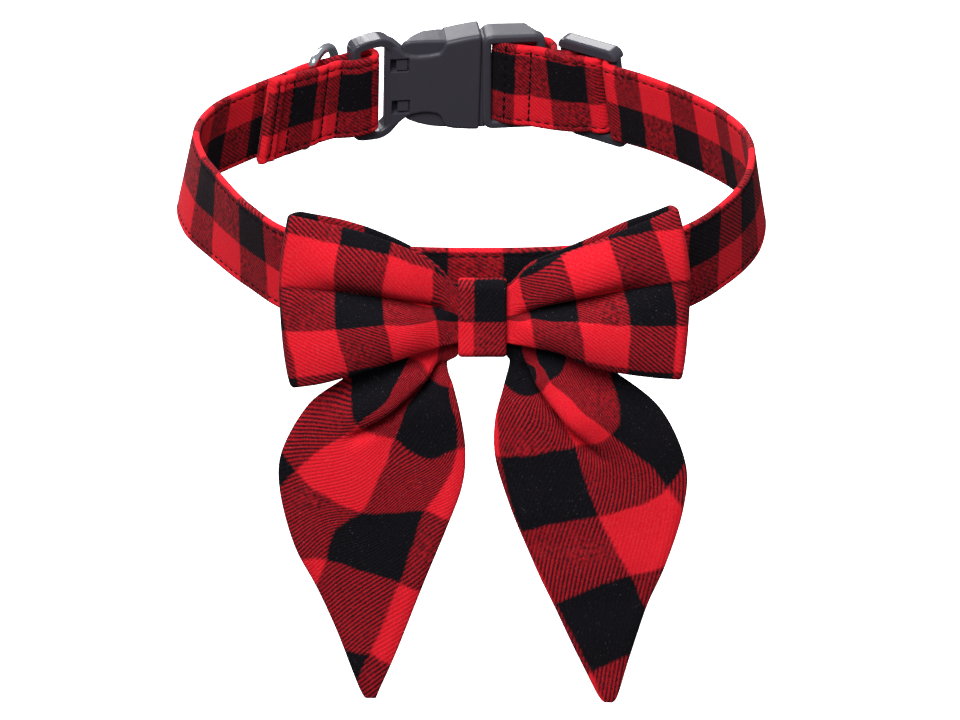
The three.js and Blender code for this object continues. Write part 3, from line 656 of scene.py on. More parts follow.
strap_normal = normals_of(strap_middle, False)
strap_seams = []
seam_column = near_rim.index(STRAP_STITCH["inset"])
for side in (1, -1):
    face = strap_middle + side * strap_normal * strap_half[..., None]
    for column in (seam_column, -1 - seam_column):
        outward = side * strap_normal[:, column]
        strap_seams.append(sewn(face[:, column], outward, STRAP_STITCH["pitch"], STRAP_STITCH["length"]))
outer_face = strap_middle + strap_normal * strap_half[..., None]
for seam_run, tightness in zip(seam_runs, drawn_in):
    station = int(np.argmin(np.abs(strap_run - seam_run)))
    closer, longer, wider = (
        ends["loose"] + (ends["tight"] - ends["loose"]) * tightness
        for ends in (SEAM_PITCH, SEAM_LENGTH, SEAM_WIDTH)
    )
    pitch = STRAP_STITCH["pitch"] * closer
    outward = strap_normal[station, 2:-2]
    centres, out, sideways = sewn(outer_face[station, 2:-2], outward, pitch, pitch * longer)
    strap_seams.append((centres, out, sideways * wider))
strap_stitches = threads(
    "strap_stitches", strap_seams, STRAP_STITCH["width"], STRAP_STITCH["height"], thread
)
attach(strap_stitches, "collar")

# The bow's wings are one loop of doubled flannel, flattened and pinched by the knot. The pinch throws one
# deep pleat along each front panel, and each outer end turns back in a soft fold.
KNOT = {"x": 1.6, "width": 12.3, "top": 7.2, "bottom": -14.8, "front": -81.2, "back": -72.6, "wall": 1.6}
WING_CLOTH = {"thickness": 1.4, "rounding": 0.8}
PANEL = {"front_at_knot": -78.65, "back_at_knot": -77.0, "front": -82.6, "back": -78.5, "opens": (6.4, 30)}
# A lobe starts outside the knot and flattens towards the wing's end. The pleat widens as it runs out and
# dies away. Each pair is the length out from the middle of the knot at which a change starts and is
# complete.
LOBE = {"puff": 3.2, "starts": (6, 20), "flattens": (26, 50), "flatter": 0.55, "fullness": 0.65}
PLEAT = {"depth": 3.3, "starts": (7, 15), "dies": (26, 48), "width": 0.9, "widens": 0.06}
WING_SLACK = {"depth": 0.45, "size": 19.0, "starts": (8, 20)}
WING_END_STEPS = 14
# How far each end fold reaches out, how far the top corner of each panel is set back from the fold, and the
# lengths out between which the corner of the front or rear panel starts to go back and the rear one drops.
END_SET_BACK = (24, 50)
END_DROPS = (36, 50)
RIGHT_END = {"reach": 1.9, "front_corner": 1.8, "back_corner": 3.3, "back_drop": 1.0}
LEFT_END = {"reach": 2.7, "front_corner": 0.0, "back_corner": 2.8, "back_drop": 1.0}
RIGHT_WING = np.array(
    [
        (0, 3.8, -9.6, -3.4),
        (6.4, 4.6, -11.2, -3.6),
        (12, 10.6, -11.6, -2.4),
        (20, 14.8, -12.2, 0.4),
        (30, 19.6, -16.2, 3.4),
        (43, 25.0, -18.6, 6.8),
        (50, 28.2, -19.4, 7.6),
    ],
    dtype=float,
)
LEFT_WING = np.array(
    [
        (0, 3.8, -9.6, -3.4),
        (6.4, 4.6, -11.2, -2.6),
        (11, 9.6, -11.8, -1.2),
        (18, 15.6, -13.0, 0.8),
        (28, 20.8, -16.0, 3.2),
        (40, 24.2, -20.2, 5.6),
        (48, 26.4, -21.6, 6.8),
    ],
    dtype=float,
)
# Where corners of the checks lie in the photograph: column, row, pixels across and pixels down.
LEFT_WING_CHECKS = [
    (2, 0, 397, 213), (3, 0, 444, 232), (0, 1, 289, 232), (1, 1, 339, 244), (2, 1, 388, 255),
    (3, 1, 432.5, 271), (3.5, 1, 456, 284), (3.55, 1.5, 458, 299), (3.2, 1.5, 443, 294),
    (3.5, 3.5, 458, 337), (0, 2, 283, 283), (1, 2, 334, 290), (2, 2, 382, 299), (3, 2, 431, 309),
    (3.55, 2, 459, 314.5), (0, 3, 288, 330), (1, 3, 337, 329), (2, 3, 385, 325), (3, 3, 435, 320),
    (3.55, 3, 459, 320.5), (0, 4, 297, 376), (1, 4, 348, 369), (2, 4, 394, 361), (3, 4, 441, 352),
]
RIGHT_WING_CHECKS = [
    (1, 0, 509, 246), (2, 0, 552, 215), (1, 1, 519, 278), (2, 1, 563, 257), (3, 1, 609, 241),
    (4, 1, 654.5, 231), (0.7, 1, 506, 277), (0.6, 1.5, 506.5, 296), (1, 1.5, 523.5, 294),
    (0.5, 2, 507, 315), (0.5, 3.5, 507, 335), (1, 3.5, 534.5, 336), (1, 2, 528, 310), (2, 2, 577, 300),
    (3, 2, 624, 289), (4, 2, 672, 280), (0.5, 3, 507, 318.5), (1, 3, 532, 320), (2, 3, 580, 322),
    (3, 3, 630, 325), (4, 3, 677, 325), (0.5, 4, 507, 352), (1, 4, 537, 352), (2, 4, 586, 359),
    (3, 4, 628, 367), (4, 4, 673, 371),
]


def smooth_rows(table, t):
    """Values between the rows of a table, where t runs from 0 to 1 over all of it: in each span a cubic
    through its two rows, whose slope at a row is half the difference of that row's neighbours."""
    place = np.clip(t, 0, 1) * (len(table) - 1)
    span = np.minimum(place.astype(int), len(table) - 2)
    part = (place - span)[:, None]
    p0, p3 = table[np.maximum(span - 1, 0)], table[np.minimum(span + 2, len(table) - 1)]
    p1, p2 = table[span], table[span + 1]
    slope1, slope2 = (p2 - p0) / 2, (p3 - p1) / 2
    return (
        p1
        + slope1 * part
        + (3 * (p2 - p1) - 2 * slope1 - slope2) * part**2
        + (2 * (p1 - p2) + slope1 + slope2) * part**3
    )


def smoothstep(value, low, high):
    """0 below low, 1 above high, and 3 s^2 - 2 s^3 between them."""
    s = np.clip((value - low) / (high - low), 0, 1)
    return s * s * (3 - 2 * s)


def through_corners(corners, pixels):
    """Check numbers at places of the photograph: a thin plate bent through the read corners, which is a
    slope plus a sum of r^2 log r from each corner, weighted so that every corner gets its own number."""
    corners = np.array(corners, dtype=float)
    known, numbers = corners[:, 2:] / 100, corners[:, :2]

    def plate(places):
        """For each place the plate's r^2 log r from every corner, then 1 and the place itself."""
        r2 = ((places[:, None, :] - known[None, :, :]) ** 2).sum(axis=-1)
        return np.concatenate([0.5 * r2 * np.log(r2 + 1e-12), np.ones((len(places), 1)), places], axis=1)

    top = plate(known)
    bottom = np.hstack([top[:, len(known) :].T, np.zeros((3, 3))])
    weights = np.linalg.solve(np.vstack([top, bottom]), np.vstack([numbers, np.zeros((3, 2))]))
    return (plate(pixels.reshape(-1, 2) / 100) @ weights).reshape(pixels.shape)


def ripples(x, z, seed, size):
    """Slack in sewn cloth: the mean of six sine waves of about that size in mixed directions, -1 to 1."""
    rng = np.random.default_rng(seed)
    heading = rng.uniform(0, math.pi, 6)
    phase = rng.uniform(0, 2 * math.pi, 6)
    length = size * rng.uniform(0.7, 1.5, 6)
    turn = (x[..., None] * np.cos(heading) + z[..., None] * np.sin(heading)) / length
    return np.sin(2 * math.pi * turn + phase).mean(axis=-1)


def wing(table, side, checks, ends, seed):
    """One wing's middle surface and its check numbers, from the middle of the knot out along the front
    panel, round the end fold and back along the rear panel. Height runs from the bottom edge over the
    crease to the top edge. Each lobe stands forward as a half sine, and the crease sinks as a bell
    curve."""
    rim = [0, 0.003, 0.01, 0.022]
    s = np.concatenate([rim, np.linspace(0.04, 0.96, 47), [0.978, 0.99, 0.997, 1]])[None, :]
    upper = s > 0.5

    def panel(rows):
        """Length out and height at each place of a panel, with its top, bottom and crease."""
        values = smooth_rows(table, np.linspace(0, 1, rows))
        out, top, bottom, crease = (values[:, k, None] for k in range(4))
        z = np.where(upper, crease + (top - crease) * (2 * s - 1), bottom + (crease - bottom) * 2 * s)
        return out, z, top, bottom, crease

    out, z, _, _, crease = panel(72)
    spread = smoothstep(out, *LOBE["starts"]) * (1 - LOBE["flatter"] * smoothstep(out, *LOBE["flattens"]))
    lobe = np.sin(math.pi * np.where(upper, 2 * s - 1, 2 * s)) ** LOBE["fullness"]
    pleat = np.exp(-(((z - crease) / (PLEAT["width"] + PLEAT["widens"] * out)) ** 2))
    pleat = pleat * smoothstep(out, *PLEAT["starts"]) * (1 - smoothstep(out, *PLEAT["dies"]))
    opened = smoothstep(out, *PANEL["opens"])
    depth = PANEL["front_at_knot"] + (PANEL["front"] - PANEL["front_at_knot"]) * opened
    slack = WING_SLACK["depth"] * ripples(out, z, seed, WING_SLACK["size"])
    slack = slack * smoothstep(out, *WING_SLACK["starts"])
    y = depth - LOBE["puff"] * lobe * spread + PLEAT["depth"] * pleat - slack
    near_top = np.clip(2 * s - 1, 0, 1) ** 1.6
    x = out - ends["front_corner"] * near_top * smoothstep(out, *END_SET_BACK)
    front = np.stack(np.broadcast_arrays(KNOT["x"] + side * x, y, z), axis=-1)

    out, _, top, bottom, _ = panel(48)
    z = bottom + (top - bottom) * s - ends["back_drop"] * near_top * smoothstep(out, *END_DROPS)
    opened = smoothstep(out, *PANEL["opens"])
    depth = PANEL["back_at_knot"] + (PANEL["back"] - PANEL["back_at_knot"]) * opened
    x = out - ends["back_corner"] * near_top * smoothstep(out, *END_SET_BACK)
    back = np.stack(np.broadcast_arrays(KNOT["x"] + side * x, depth + 0 * s, z), axis=-1)

    t = np.linspace(0, 1, WING_END_STEPS + 2)[1:-1, None, None]
    end = front[-1:] + (back[-1:] - front[-1:]) * (1 - np.cos(math.pi * t)) / 2
    reach = ends["reach"] * np.sin(math.pi * t[..., 0]) * (0.1 + 0.9 * np.sin(math.pi * s) ** 0.6)
    end[..., 0] += side * reach
    rest = np.concatenate([front[-1:], end, back[::-1]])
    seen = through_corners(checks, in_photo(front))
    run = np.cumsum(np.linalg.norm(np.diff(rest, axis=0), axis=-1).mean(axis=1))
    hidden = np.repeat(seen[-1:], len(run), axis=0)
    hidden[..., 0] += side * run[:, None] / SMALL_CHECK
    return np.concatenate([front, rest[1:]]), np.concatenate([seen, hidden])


right_middle, right_uv = wing(RIGHT_WING, 1, RIGHT_WING_CHECKS, RIGHT_END, seed=3)
left_middle, left_uv = wing(LEFT_WING, -1, LEFT_WING_CHECKS, LEFT_END, seed=8)
wings_middle = np.concatenate([right_middle, left_middle[::-1][1:-1]])
wings_uv = np.concatenate([right_uv, left_uv[::-1][1:]])
wing_flannel = flannel("brushed_flannel_bow_check", SMALL_CHECK, turned=False, worn_from=0.47)
wings = thick_cloth(
    "bow_wings_flannel",
    wings_middle,
    WING_CLOTH["thickness"] / 2,
    WING_CLOTH["rounding"],
    wings_uv,
    wings_uv,
    wing_flannel,
    ring=True,
)
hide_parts("bow_wings")
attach(wings, "collar")
wings_place = wings_middle[:, :, 0].mean(axis=1)
wings_ends = [int(wings_place.argmin()), int(wings_place.argmax())]

# The knot is a short band of flannel, its raw edges turned under, drawn tight round the wings and the
# tops of the tails and sewn behind. Its cloth is cut a quarter turn from that of the wings.
KNOT_CORNER = 1.6
KNOT_TOP_FALL = 2.7
KNOT_ROUNDING = 0.8
KNOT_CHECKS = {"column_x": 474.0, "row_down": 281.0, "row": 11.0}

knot_flannel = flannel("brushed_flannel_small_check_turned", SMALL_CHECK, turned=True, worn_from=0.45)
inset = KNOT["wall"] / 2
knot_back, knot_top = (KNOT[edge] - inset - KNOT_CORNER for edge in ("back", "top"))
knot_front, knot_bottom = (KNOT[edge] + inset + KNOT_CORNER for edge in ("front", "bottom"))
corner_centres = np.array(
    [
        (knot_back, knot_bottom),
        (knot_back, knot_top - KNOT_TOP_FALL),
        (knot_front, knot_top),
        (knot_front, knot_bottom),
    ]
)
quarter = np.radians(np.linspace(0, 90, 9))[None, :] + np.radians([-90, 0, 90, 180])[:, None]
corners = corner_centres[:, None, :] + KNOT_CORNER * np.stack([np.cos(quarter), np.sin(quarter)], axis=-1)
starts, finishes = corners[:, -1], np.roll(corners, -1, axis=0)[:, 0]
between = starts[:, None, :] + (finishes - starts)[:, None, :] * np.linspace(0, 1, 12)[1:-1][None, :, None]
loop = np.concatenate([corners, between], axis=1).reshape(-1, 2)
s = np.concatenate([[0, 0.006, 0.025, 0.055], np.linspace(0.09, 0.91, 19), [0.945, 0.975, 0.994, 1]])
knot_x = KNOT["x"] + (s - 0.5) * KNOT["width"]
knot_middle = np.empty((len(loop), len(s), 3))
knot_middle[..., 0] = knot_x[None, :]
knot_middle[..., 1:] = loop[:, None, :]
knot_steps = np.linalg.norm(np.diff(np.vstack([loop, loop[:1]]), axis=0), axis=1)
knot_run = np.concatenate([[0], np.cumsum(knot_steps)])
knot_uv = np.empty((len(loop) + 1, len(s), 2))
pair = np.array([[KNOT["x"], KNOT["front"], 0.0], [KNOT["x"] + 10, KNOT["front"], 0.0]])
photo_x = in_photo(pair)[:, 0]
split_x = KNOT["x"] + 10 * (KNOT_CHECKS["column_x"] - photo_x[0]) / (photo_x[1] - photo_x[0])
knot_uv[..., 0] = ((knot_x - split_x) / SMALL_CHECK + 1.0)[None, :]
facing = np.flatnonzero(loop[:, 0] < knot_front)
facing = facing[np.argsort(knot_run[facing])]
knot_face = np.column_stack([np.full(len(loop), KNOT["x"]), loop[:, 0] - inset, loop[:, 1]])
knot_down = in_photo(knot_face)[:, 1]
row_run = np.interp(KNOT_CHECKS["row_down"], knot_down[facing], knot_run[facing])
knot_uv[..., 1] = ((knot_run - row_run) / KNOT_CHECKS["row"])[:, None]
knot = thick_cloth(
    "bow_knot_flannel", knot_middle, inset, KNOT_ROUNDING, knot_uv, knot_uv, knot_flannel, ring=True
)
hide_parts("bow_knot")
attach(knot, "collar")

# Each tail is a leaf of flannel in a larger check, two layers sewn round the edge and turned. Its top is
# gathered under the knot, which throws a fold that runs out and down and opens into the broad of the leaf.
LARGE_CHECK = 19.5
TAIL_CLOTH = {"thickness": 1.6, "rounding": 0.9}
HEM = {"height": 0.22, "inset": 2.6, "width": 1.5}
TAIL = {"depth_at_knot": -75.25, "depth": -77.4, "comes_forward": (16, 34)}
TAIL_FOLDS = {"crown": 1.8, "below": (14, 20)}
TAIL_SLACK = {"depth": 0.7, "size": 26.0}
LEFT_TAIL = np.array(
    [
        (1.2, -1.6, 1.2, -11.4),
        (-8, -3.6, -3.2, -12.6),
        (-13, -6.4, -4.7, -16.2),
        (-21, -11, -7.5, -18.8),
        (-33, -21.5, -5.8, -24.4),
        (-43.2, -29.5, -3.8, -33.0),
        (-50.2, -42.5, -2.7, -43.0),
        (-51.0, -54.5, -3.6, -53.0),
        (-47.6, -70.0, -7.6, -65.0),
        (-42.0, -82.8, -13.8, -81.8),
        (-36.2, -97.6, -20.6, -101.0),
        (-31.0, -113.6, -25.4, -113.2),
        (-29.4, -116.6, -26.6, -116.6),
    ]
)
RIGHT_TAIL = np.array(
    [
        (2.0, -1.6, 2.0, -11.4),
        (12, -3.2, 6.4, -12.8),
        (16, -5.6, 7.7, -16.2),
        (23, -10.2, 8.5, -18.2),
        (33, -18.6, 7.0, -24.6),
        (47.2, -30.2, 4.8, -34.0),
        (54.2, -46.0, 4.9, -44.6),
        (53.9, -60.0, 8.2, -57.0),
        (49.6, -76.0, 14.2, -73.6),
        (44.8, -89.0, 20.6, -89.0),
        (40.6, -104.2, 27.4, -104.6),
        (37.6, -115.6, 32.0, -114.8),
        (36.0, -117.6, 34.0, -117.6),
    ]
)
LEFT_TAIL_CHECKS = [
    (2, 0, 409, 358), (2.5, 0, 421, 364), (3, 0, 430, 378), (4, 0, 449, 386), (2, 0.5, 387.8, 399.2),
    (3, 0.5, 407.7, 407.3), (1.35, 1, 350, 376), (2, 1, 357, 424), (3, 1, 393, 438),
    (3.3, 1, 410.5, 451), (3.65, 1, 434, 458), (4, 1, 457, 447), (4, 0.5, 455, 415), (1.7, 2, 283, 450),
    (2, 2, 295, 469), (2, 2.25, 281, 487), (3, 2, 361, 511), (3, 2.45, 334, 528), (4, 2, 425, 509),
    (4.3, 2, 446, 517), (2.65, 3, 300, 556), (3, 3, 326, 558), (3, 3.3, 315, 583), (4, 3, 399, 582),
    (4.3, 3, 421, 590), (3.67, 4, 345, 648), (4, 4, 369, 653), (4.33, 4, 392, 664),
]
RIGHT_TAIL_CHECKS = [
    (1, 1, 503, 383), (2, 1, 540, 393), (3, 1, 550, 381), (3.5, 1, 561, 373), (3.9, 1, 566, 350),
    (1, 0.5, 505, 348), (1.5, 0.6, 520, 366), (2, 0.4, 536, 368), (3, 0.4, 540, 365),
    (1.5, 1, 521, 395), (1, 1.5, 498.7, 417), (2, 1.5, 556.5, 417), (3, 1.5, 579.5, 409.5),
    (1.5, 2, 533.7, 452.8), (1, 2, 501, 455), (2, 2, 574, 445), (3, 2, 611, 434), (3.9, 2, 610, 371),
    (1, 3, 521, 530), (2, 3, 598, 515), (3, 3, 668, 487), (3.3, 3, 685, 462), (1, 4, 555, 600),
    (2, 4, 630, 574), (2.45, 4, 663, 566), (1, 5, 591, 671), (1.53, 5, 628, 655),
]
# A fold runs from a place by the knot to where it dies out, each as x and z. Its crest stands forward,
# and the cloth on the inner side of the line drops away behind it. It grows and dies over parts of its
# own length.
FOLD_WIDTH = {"outside": 6.5, "inside": 1.3, "hollow": 2.0, "lap": 1.8}
HOLLOW_INSET = 3.0
FOLD_GROWS = (-0.3, 0.1)
FOLD_DIES = (0.5, 1.3)
LEFT_FOLD = {"start": (-13.5, -18.5), "end": (-31.5, -34.5), "crest": 4.4, "drop": 5.5, "lap": 2.0}
RIGHT_FOLD = {"start": (17.0, -20.0), "end": (32.0, -40.0), "crest": 4.4, "drop": 4.6, "lap": 2.0}


def fold_moves(x, z, fold, side):
    """How a fold moves the cloth, from the distance d to its line, positive on the inner side. Forward: a
    wide bell outside the line, a steep bell inside it, less a narrow bell further in. Along x and z: a bell
    at the line, towards the inner side, which laps the crest over the hollow."""
    start, end = np.array(fold["start"]), np.array(fold["end"])
    length = np.linalg.norm(end - start)
    run = (end - start) / length
    t = ((x - start[0]) * run[0] + (z - start[1]) * run[1]) / length
    d = side * ((x - start[0]) * run[1] - (z - start[1]) * run[0])
    crest = np.exp(-((d / np.where(d < 0, FOLD_WIDTH["outside"], FOLD_WIDTH["inside"])) ** 2))
    drop = np.exp(-(((d - HOLLOW_INSET) / FOLD_WIDTH["hollow"]) ** 2))
    fade = smoothstep(t, *FOLD_GROWS) * (1 - smoothstep(t, *FOLD_DIES))
    lap = fold["lap"] * np.exp(-((d / FOLD_WIDTH["lap"]) ** 2)) * fade * side
    return (fold["crest"] * crest - fold["drop"] * drop) * fade, lap * run[1], -lap * run[0]


def tail(name, table, checks, fold, side, seed, material):
    """A tail, its flat width and length along its own axes, and its area. Rows of its middle surface run
    from the knot to the tip, and each is straight from its outer edge to its inner edge. The cloth crowns
    between its edges and comes forward once it is clear of the wings."""
    t = np.linspace(0, 1, 150)
    outer_x, outer_z, inner_x, inner_z = (smooth_rows(table, t)[:, k, None] for k in range(4))
    rim = [0, 0.002, 0.008, 0.018]
    s = np.concatenate([rim, np.linspace(0.035, 0.965, 62), [0.982, 0.992, 0.998, 1]])[None, :]
    x = outer_x + (inner_x - outer_x) * s
    z = outer_z + (inner_z - outer_z) * s
    clear = smoothstep(-z, *TAIL["comes_forward"])
    crown = TAIL_FOLDS["crown"] * np.sin(math.pi * s) * clear * (1 - t[:, None])
    depth = TAIL["depth_at_knot"] + (TAIL["depth"] - TAIL["depth_at_knot"]) * clear
    slack = TAIL_SLACK["depth"] * ripples(x, z, seed, TAIL_SLACK["size"]) * clear
    forward, lap_x, lap_z = fold_moves(x, z, fold, side)
    below = smoothstep(-z, *TAIL_FOLDS["below"])
    y = depth - crown - slack - forward * below
    middle = np.stack([x + lap_x * below, y, z + lap_z * below], axis=-1)
    uv = through_corners(checks, in_photo(middle))
    inward = np.minimum(rim_distance(middle, 1), rim_distance(middle, 0))
    hem = HEM["height"] * np.exp(-(((inward - HEM["inset"]) / HEM["width"]) ** 2))
    half = TAIL_CLOTH["thickness"] / 2 + hem
    made = thick_cloth(name, middle, half, TAIL_CLOTH["rounding"], uv, uv, material)
    down = np.linalg.norm(np.diff(middle, axis=0), axis=-1)[:, :-1]
    across = np.linalg.norm(np.diff(middle, axis=1), axis=-1)[:-1]
    outline = middle[:, :, [0, 2]].reshape(-1, 2)
    own_axes = np.linalg.svd(outline - outline.mean(axis=0), full_matrices=False)[2]
    long_side, short_side = np.ptp(outline @ own_axes.T, axis=0) / 1000
    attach(made, "collar")
    return made, (float(short_side), float(long_side)), float((down * across).sum()) / 1e6


tail_flannel = flannel("brushed_flannel_large_check_turned", LARGE_CHECK, turned=True, worn_from=0.47)
left_tail, left_flat, left_area = tail(
    "tail_left_flannel", LEFT_TAIL, LEFT_TAIL_CHECKS, LEFT_FOLD, -1, 5, tail_flannel
)
right_tail, right_flat, right_area = tail(
    "tail_right_flannel", RIGHT_TAIL, RIGHT_TAIL_CHECKS, RIGHT_FOLD, 1, 6, tail_flannel
)
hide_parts("tail_left")
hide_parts("tail_right")

# The buckle's female half is a body with a bent frame at one side, round which the strap's sewn end is
# folded. It is moulded in black acetal. The mould was spark-eroded, so the faces are a fine satin, and
# every edge is eased.
PLASTIC_COLOUR = "#3A3941"
BUCKLE_FRONT = -4.5
BUCKLE_FRONT_STEPS = 150
BODY_CORNER = 1.2
BODY_BACKS = [(-26.5, 0.6), (-22.5, 0.6), (-19.5, -BUCKLE_FRONT), (0, -BUCKLE_FRONT)]
BENT_BAR = {"thick": 2.6, "half_depth": 2.5, "corner": 0.5}
# A block's ends are rounded over this length. Its windows have steep walls and a step left standing in
# them.
BLOCK_END = 0.7
BLOCK_STATIONS = 112
WINDOW = {"depth": 3.0, "step_depth": 0.5, "wall": 0.03}
CORNER_PLACES = 7
BACK_STEPS = 8
SIDE_STEPS = 8
BAR_STEP = 0.35
CRISP_EDGE = 38
# The front edges in the photograph, as pixels across and down.
BODY_TOP = [
    (384.5, 43.5), (390, 43.8), (395, 46), (400, 50), (405, 54.2), (410, 56), (418, 56.6), (430, 55.6),
    (440, 53.6), (443, 50.5), (445, 46), (447, 42.8), (458, 40.4), (470, 38), (482.2, 36),
]
BODY_BOTTOM = [
    (384.5, 135), (389, 132.5), (394, 128.6), (400, 123.6), (405, 119.6), (412, 116.2), (421, 114.4),
    (430, 114.2), (438, 115.6), (441.5, 119), (444, 125), (447, 128.6), (455, 130), (470, 130.6),
    (482.2, 130.6),
]
# The windows and the step in each, as pixels: left, right, top and bottom.
WINDOWS = [
    {"window": (390.4, 409.2, 59.4, 72.3), "step": (396.6, 407.4, 61.6, 70.8)},
    {"window": (391.8, 409.6, 100.8, 113.8), "step": (397.8, 408.4, 102.8, 111.6)},
]
FRAME_LINE = [
    (401, 60), (395, 51.5), (390.5, 46.5), (386.5, 44), (381, 43.6), (370, 46), (359, 50.4),
    (357.4, 51.6), (357.2, 54), (357.2, 62), (357.2, 128), (357.4, 134.6), (359.4, 137), (363, 137.8),
    (372, 136.8), (381, 135.4), (388, 131), (397, 121),
]

plastic, tree = new_material("moulded_black_acetal")
place = add(tree, "TexCoord").outputs["Object"]
# The spark grain is about 0.1 mm, drawn here at 0.4 mm so that the render can show it.
grain = add(tree, "TexNoise", {"Vector": place, "Scale": 2500.0, "Detail": 2.0}).outputs["Fac"]
handling = add(tree, "TexNoise", {"Vector": place, "Scale": 90.0, "Detail": 3.0}).outputs["Fac"]
settings = {"Value": handling, "From Min": 0.3, "From Max": 0.7, "To Min": 0.4, "To Max": 0.48}
handled = add(tree, "MapRange", settings).outputs["Result"]
# The body keeps the mould's fine grain, and the frame and the slide at either side are polished by the
# strap.
side = add(tree, "SeparateXYZ", {"Vector": place}).outputs["X"]
distance = add(tree, "Math", {0: side}, operation="ABSOLUTE").outputs["Value"]
settings = {"Value": distance, "From Min": 0.021, "From Max": 0.025}
polished = add(tree, "MapRange", settings).outputs["Result"]
gloss = add(tree, "Mix", {0: polished, 2: handled, 3: 0.17}, data_type="FLOAT").outputs[0]
bump = add(tree, "Bump", {"Strength": 0.25, "Distance": 0.00005, "Height": grain})
shader = add(
    tree,
    "BsdfPrincipled",
    {
        "Base Color": linear(PLASTIC_COLOUR),
        "Roughness": gloss,
        "IOR": 1.48,
        "Specular IOR Level": 0.28,
        "Normal": bump.outputs["Normal"],
    },
)
add(tree, "OutputMaterial", {"Surface": shader.outputs[0]})


def leaning_axes(heading):
    """Unit directions along, out from and up a piece of hardware that leans with the strap."""
    c, s = cos_sin(heading)
    flat, rise = cos_sin(HARDWARE_LEAN)
    out = np.array([-flat * s, flat * c, rise])
    return np.array([c, s, 0.0]), out, np.array([rise * s, -rise * c, flat])


def seen_on(pixels, origin, axes, depth):
    """Where pixels of the photograph see a plane, as lengths along and up it from its origin. The plane
    stands depth out from the origin. The line of sight through a pixel is followed until it meets it."""
    pixels = np.array(pixels, dtype=float)
    along, out, up = axes
    scale = LENS / SENSOR * PHOTO["width"]
    across = (pixels[:, 0] - PHOTO["width"] / 2) / scale
    down = (pixels[:, 1] - PHOTO["height"] / 2) / scale
    camera_up = np.array([0.0, math.sin(ELEVATION), math.cos(ELEVATION)])
    sight = across[:, None] * np.array([1.0, 0.0, 0.0]) - down[:, None] * camera_up - toward_camera
    eye = TARGET + DISTANCE * toward_camera
    reach = ((origin + depth * out - eye) @ out) / (sight @ out)
    places = eye + reach[:, None] * sight - origin
    return np.column_stack([places @ along, places @ up])


def rounded_section(front_steps, side_steps):
    """A rectangle with round corners, once round it from its top front corner, as four weights a place:
    height by half height and by corner radius, and depth by half depth and by corner radius."""
    arc_turn = np.radians(np.linspace(0, 90, CORNER_PLACES))
    sides = [(1, -1, 0), (-1, -1, 90), (-1, 1, 180), (1, 1, 270)]
    counts = [front_steps, side_steps, BACK_STEPS, side_steps]
    weights = []
    for (height, depth, start), count, following in zip(sides, counts, sides[1:] + sides[:1]):
        bend = arc_turn + math.radians(start)
        heights, depths = np.full(CORNER_PLACES, height), np.full(CORNER_PLACES, depth)
        corner = np.column_stack([heights, np.cos(bend), depths, -np.sin(bend)])
        part = np.linspace(0, 1, count + 2)[1:-1, None]
        ends = np.array([corner[-1], [following[0], corner[-1, 1], following[1], corner[-1, 3]]])
        weights.append(np.concatenate([corner, ends[0] + (ends[1] - ends[0]) * part]))
    return np.concatenate(weights)


def closed_tube(rings):
    """Faces of a tube of rings whose first and last ring have shrunk to a point, or of a closed tube."""
    ids = np.arange(rings.shape[0] * rings.shape[1]).reshape(rings.shape[:2])
    return grid_corners(np.pad(ids, ((0, 0), (0, 1)), mode="wrap"))


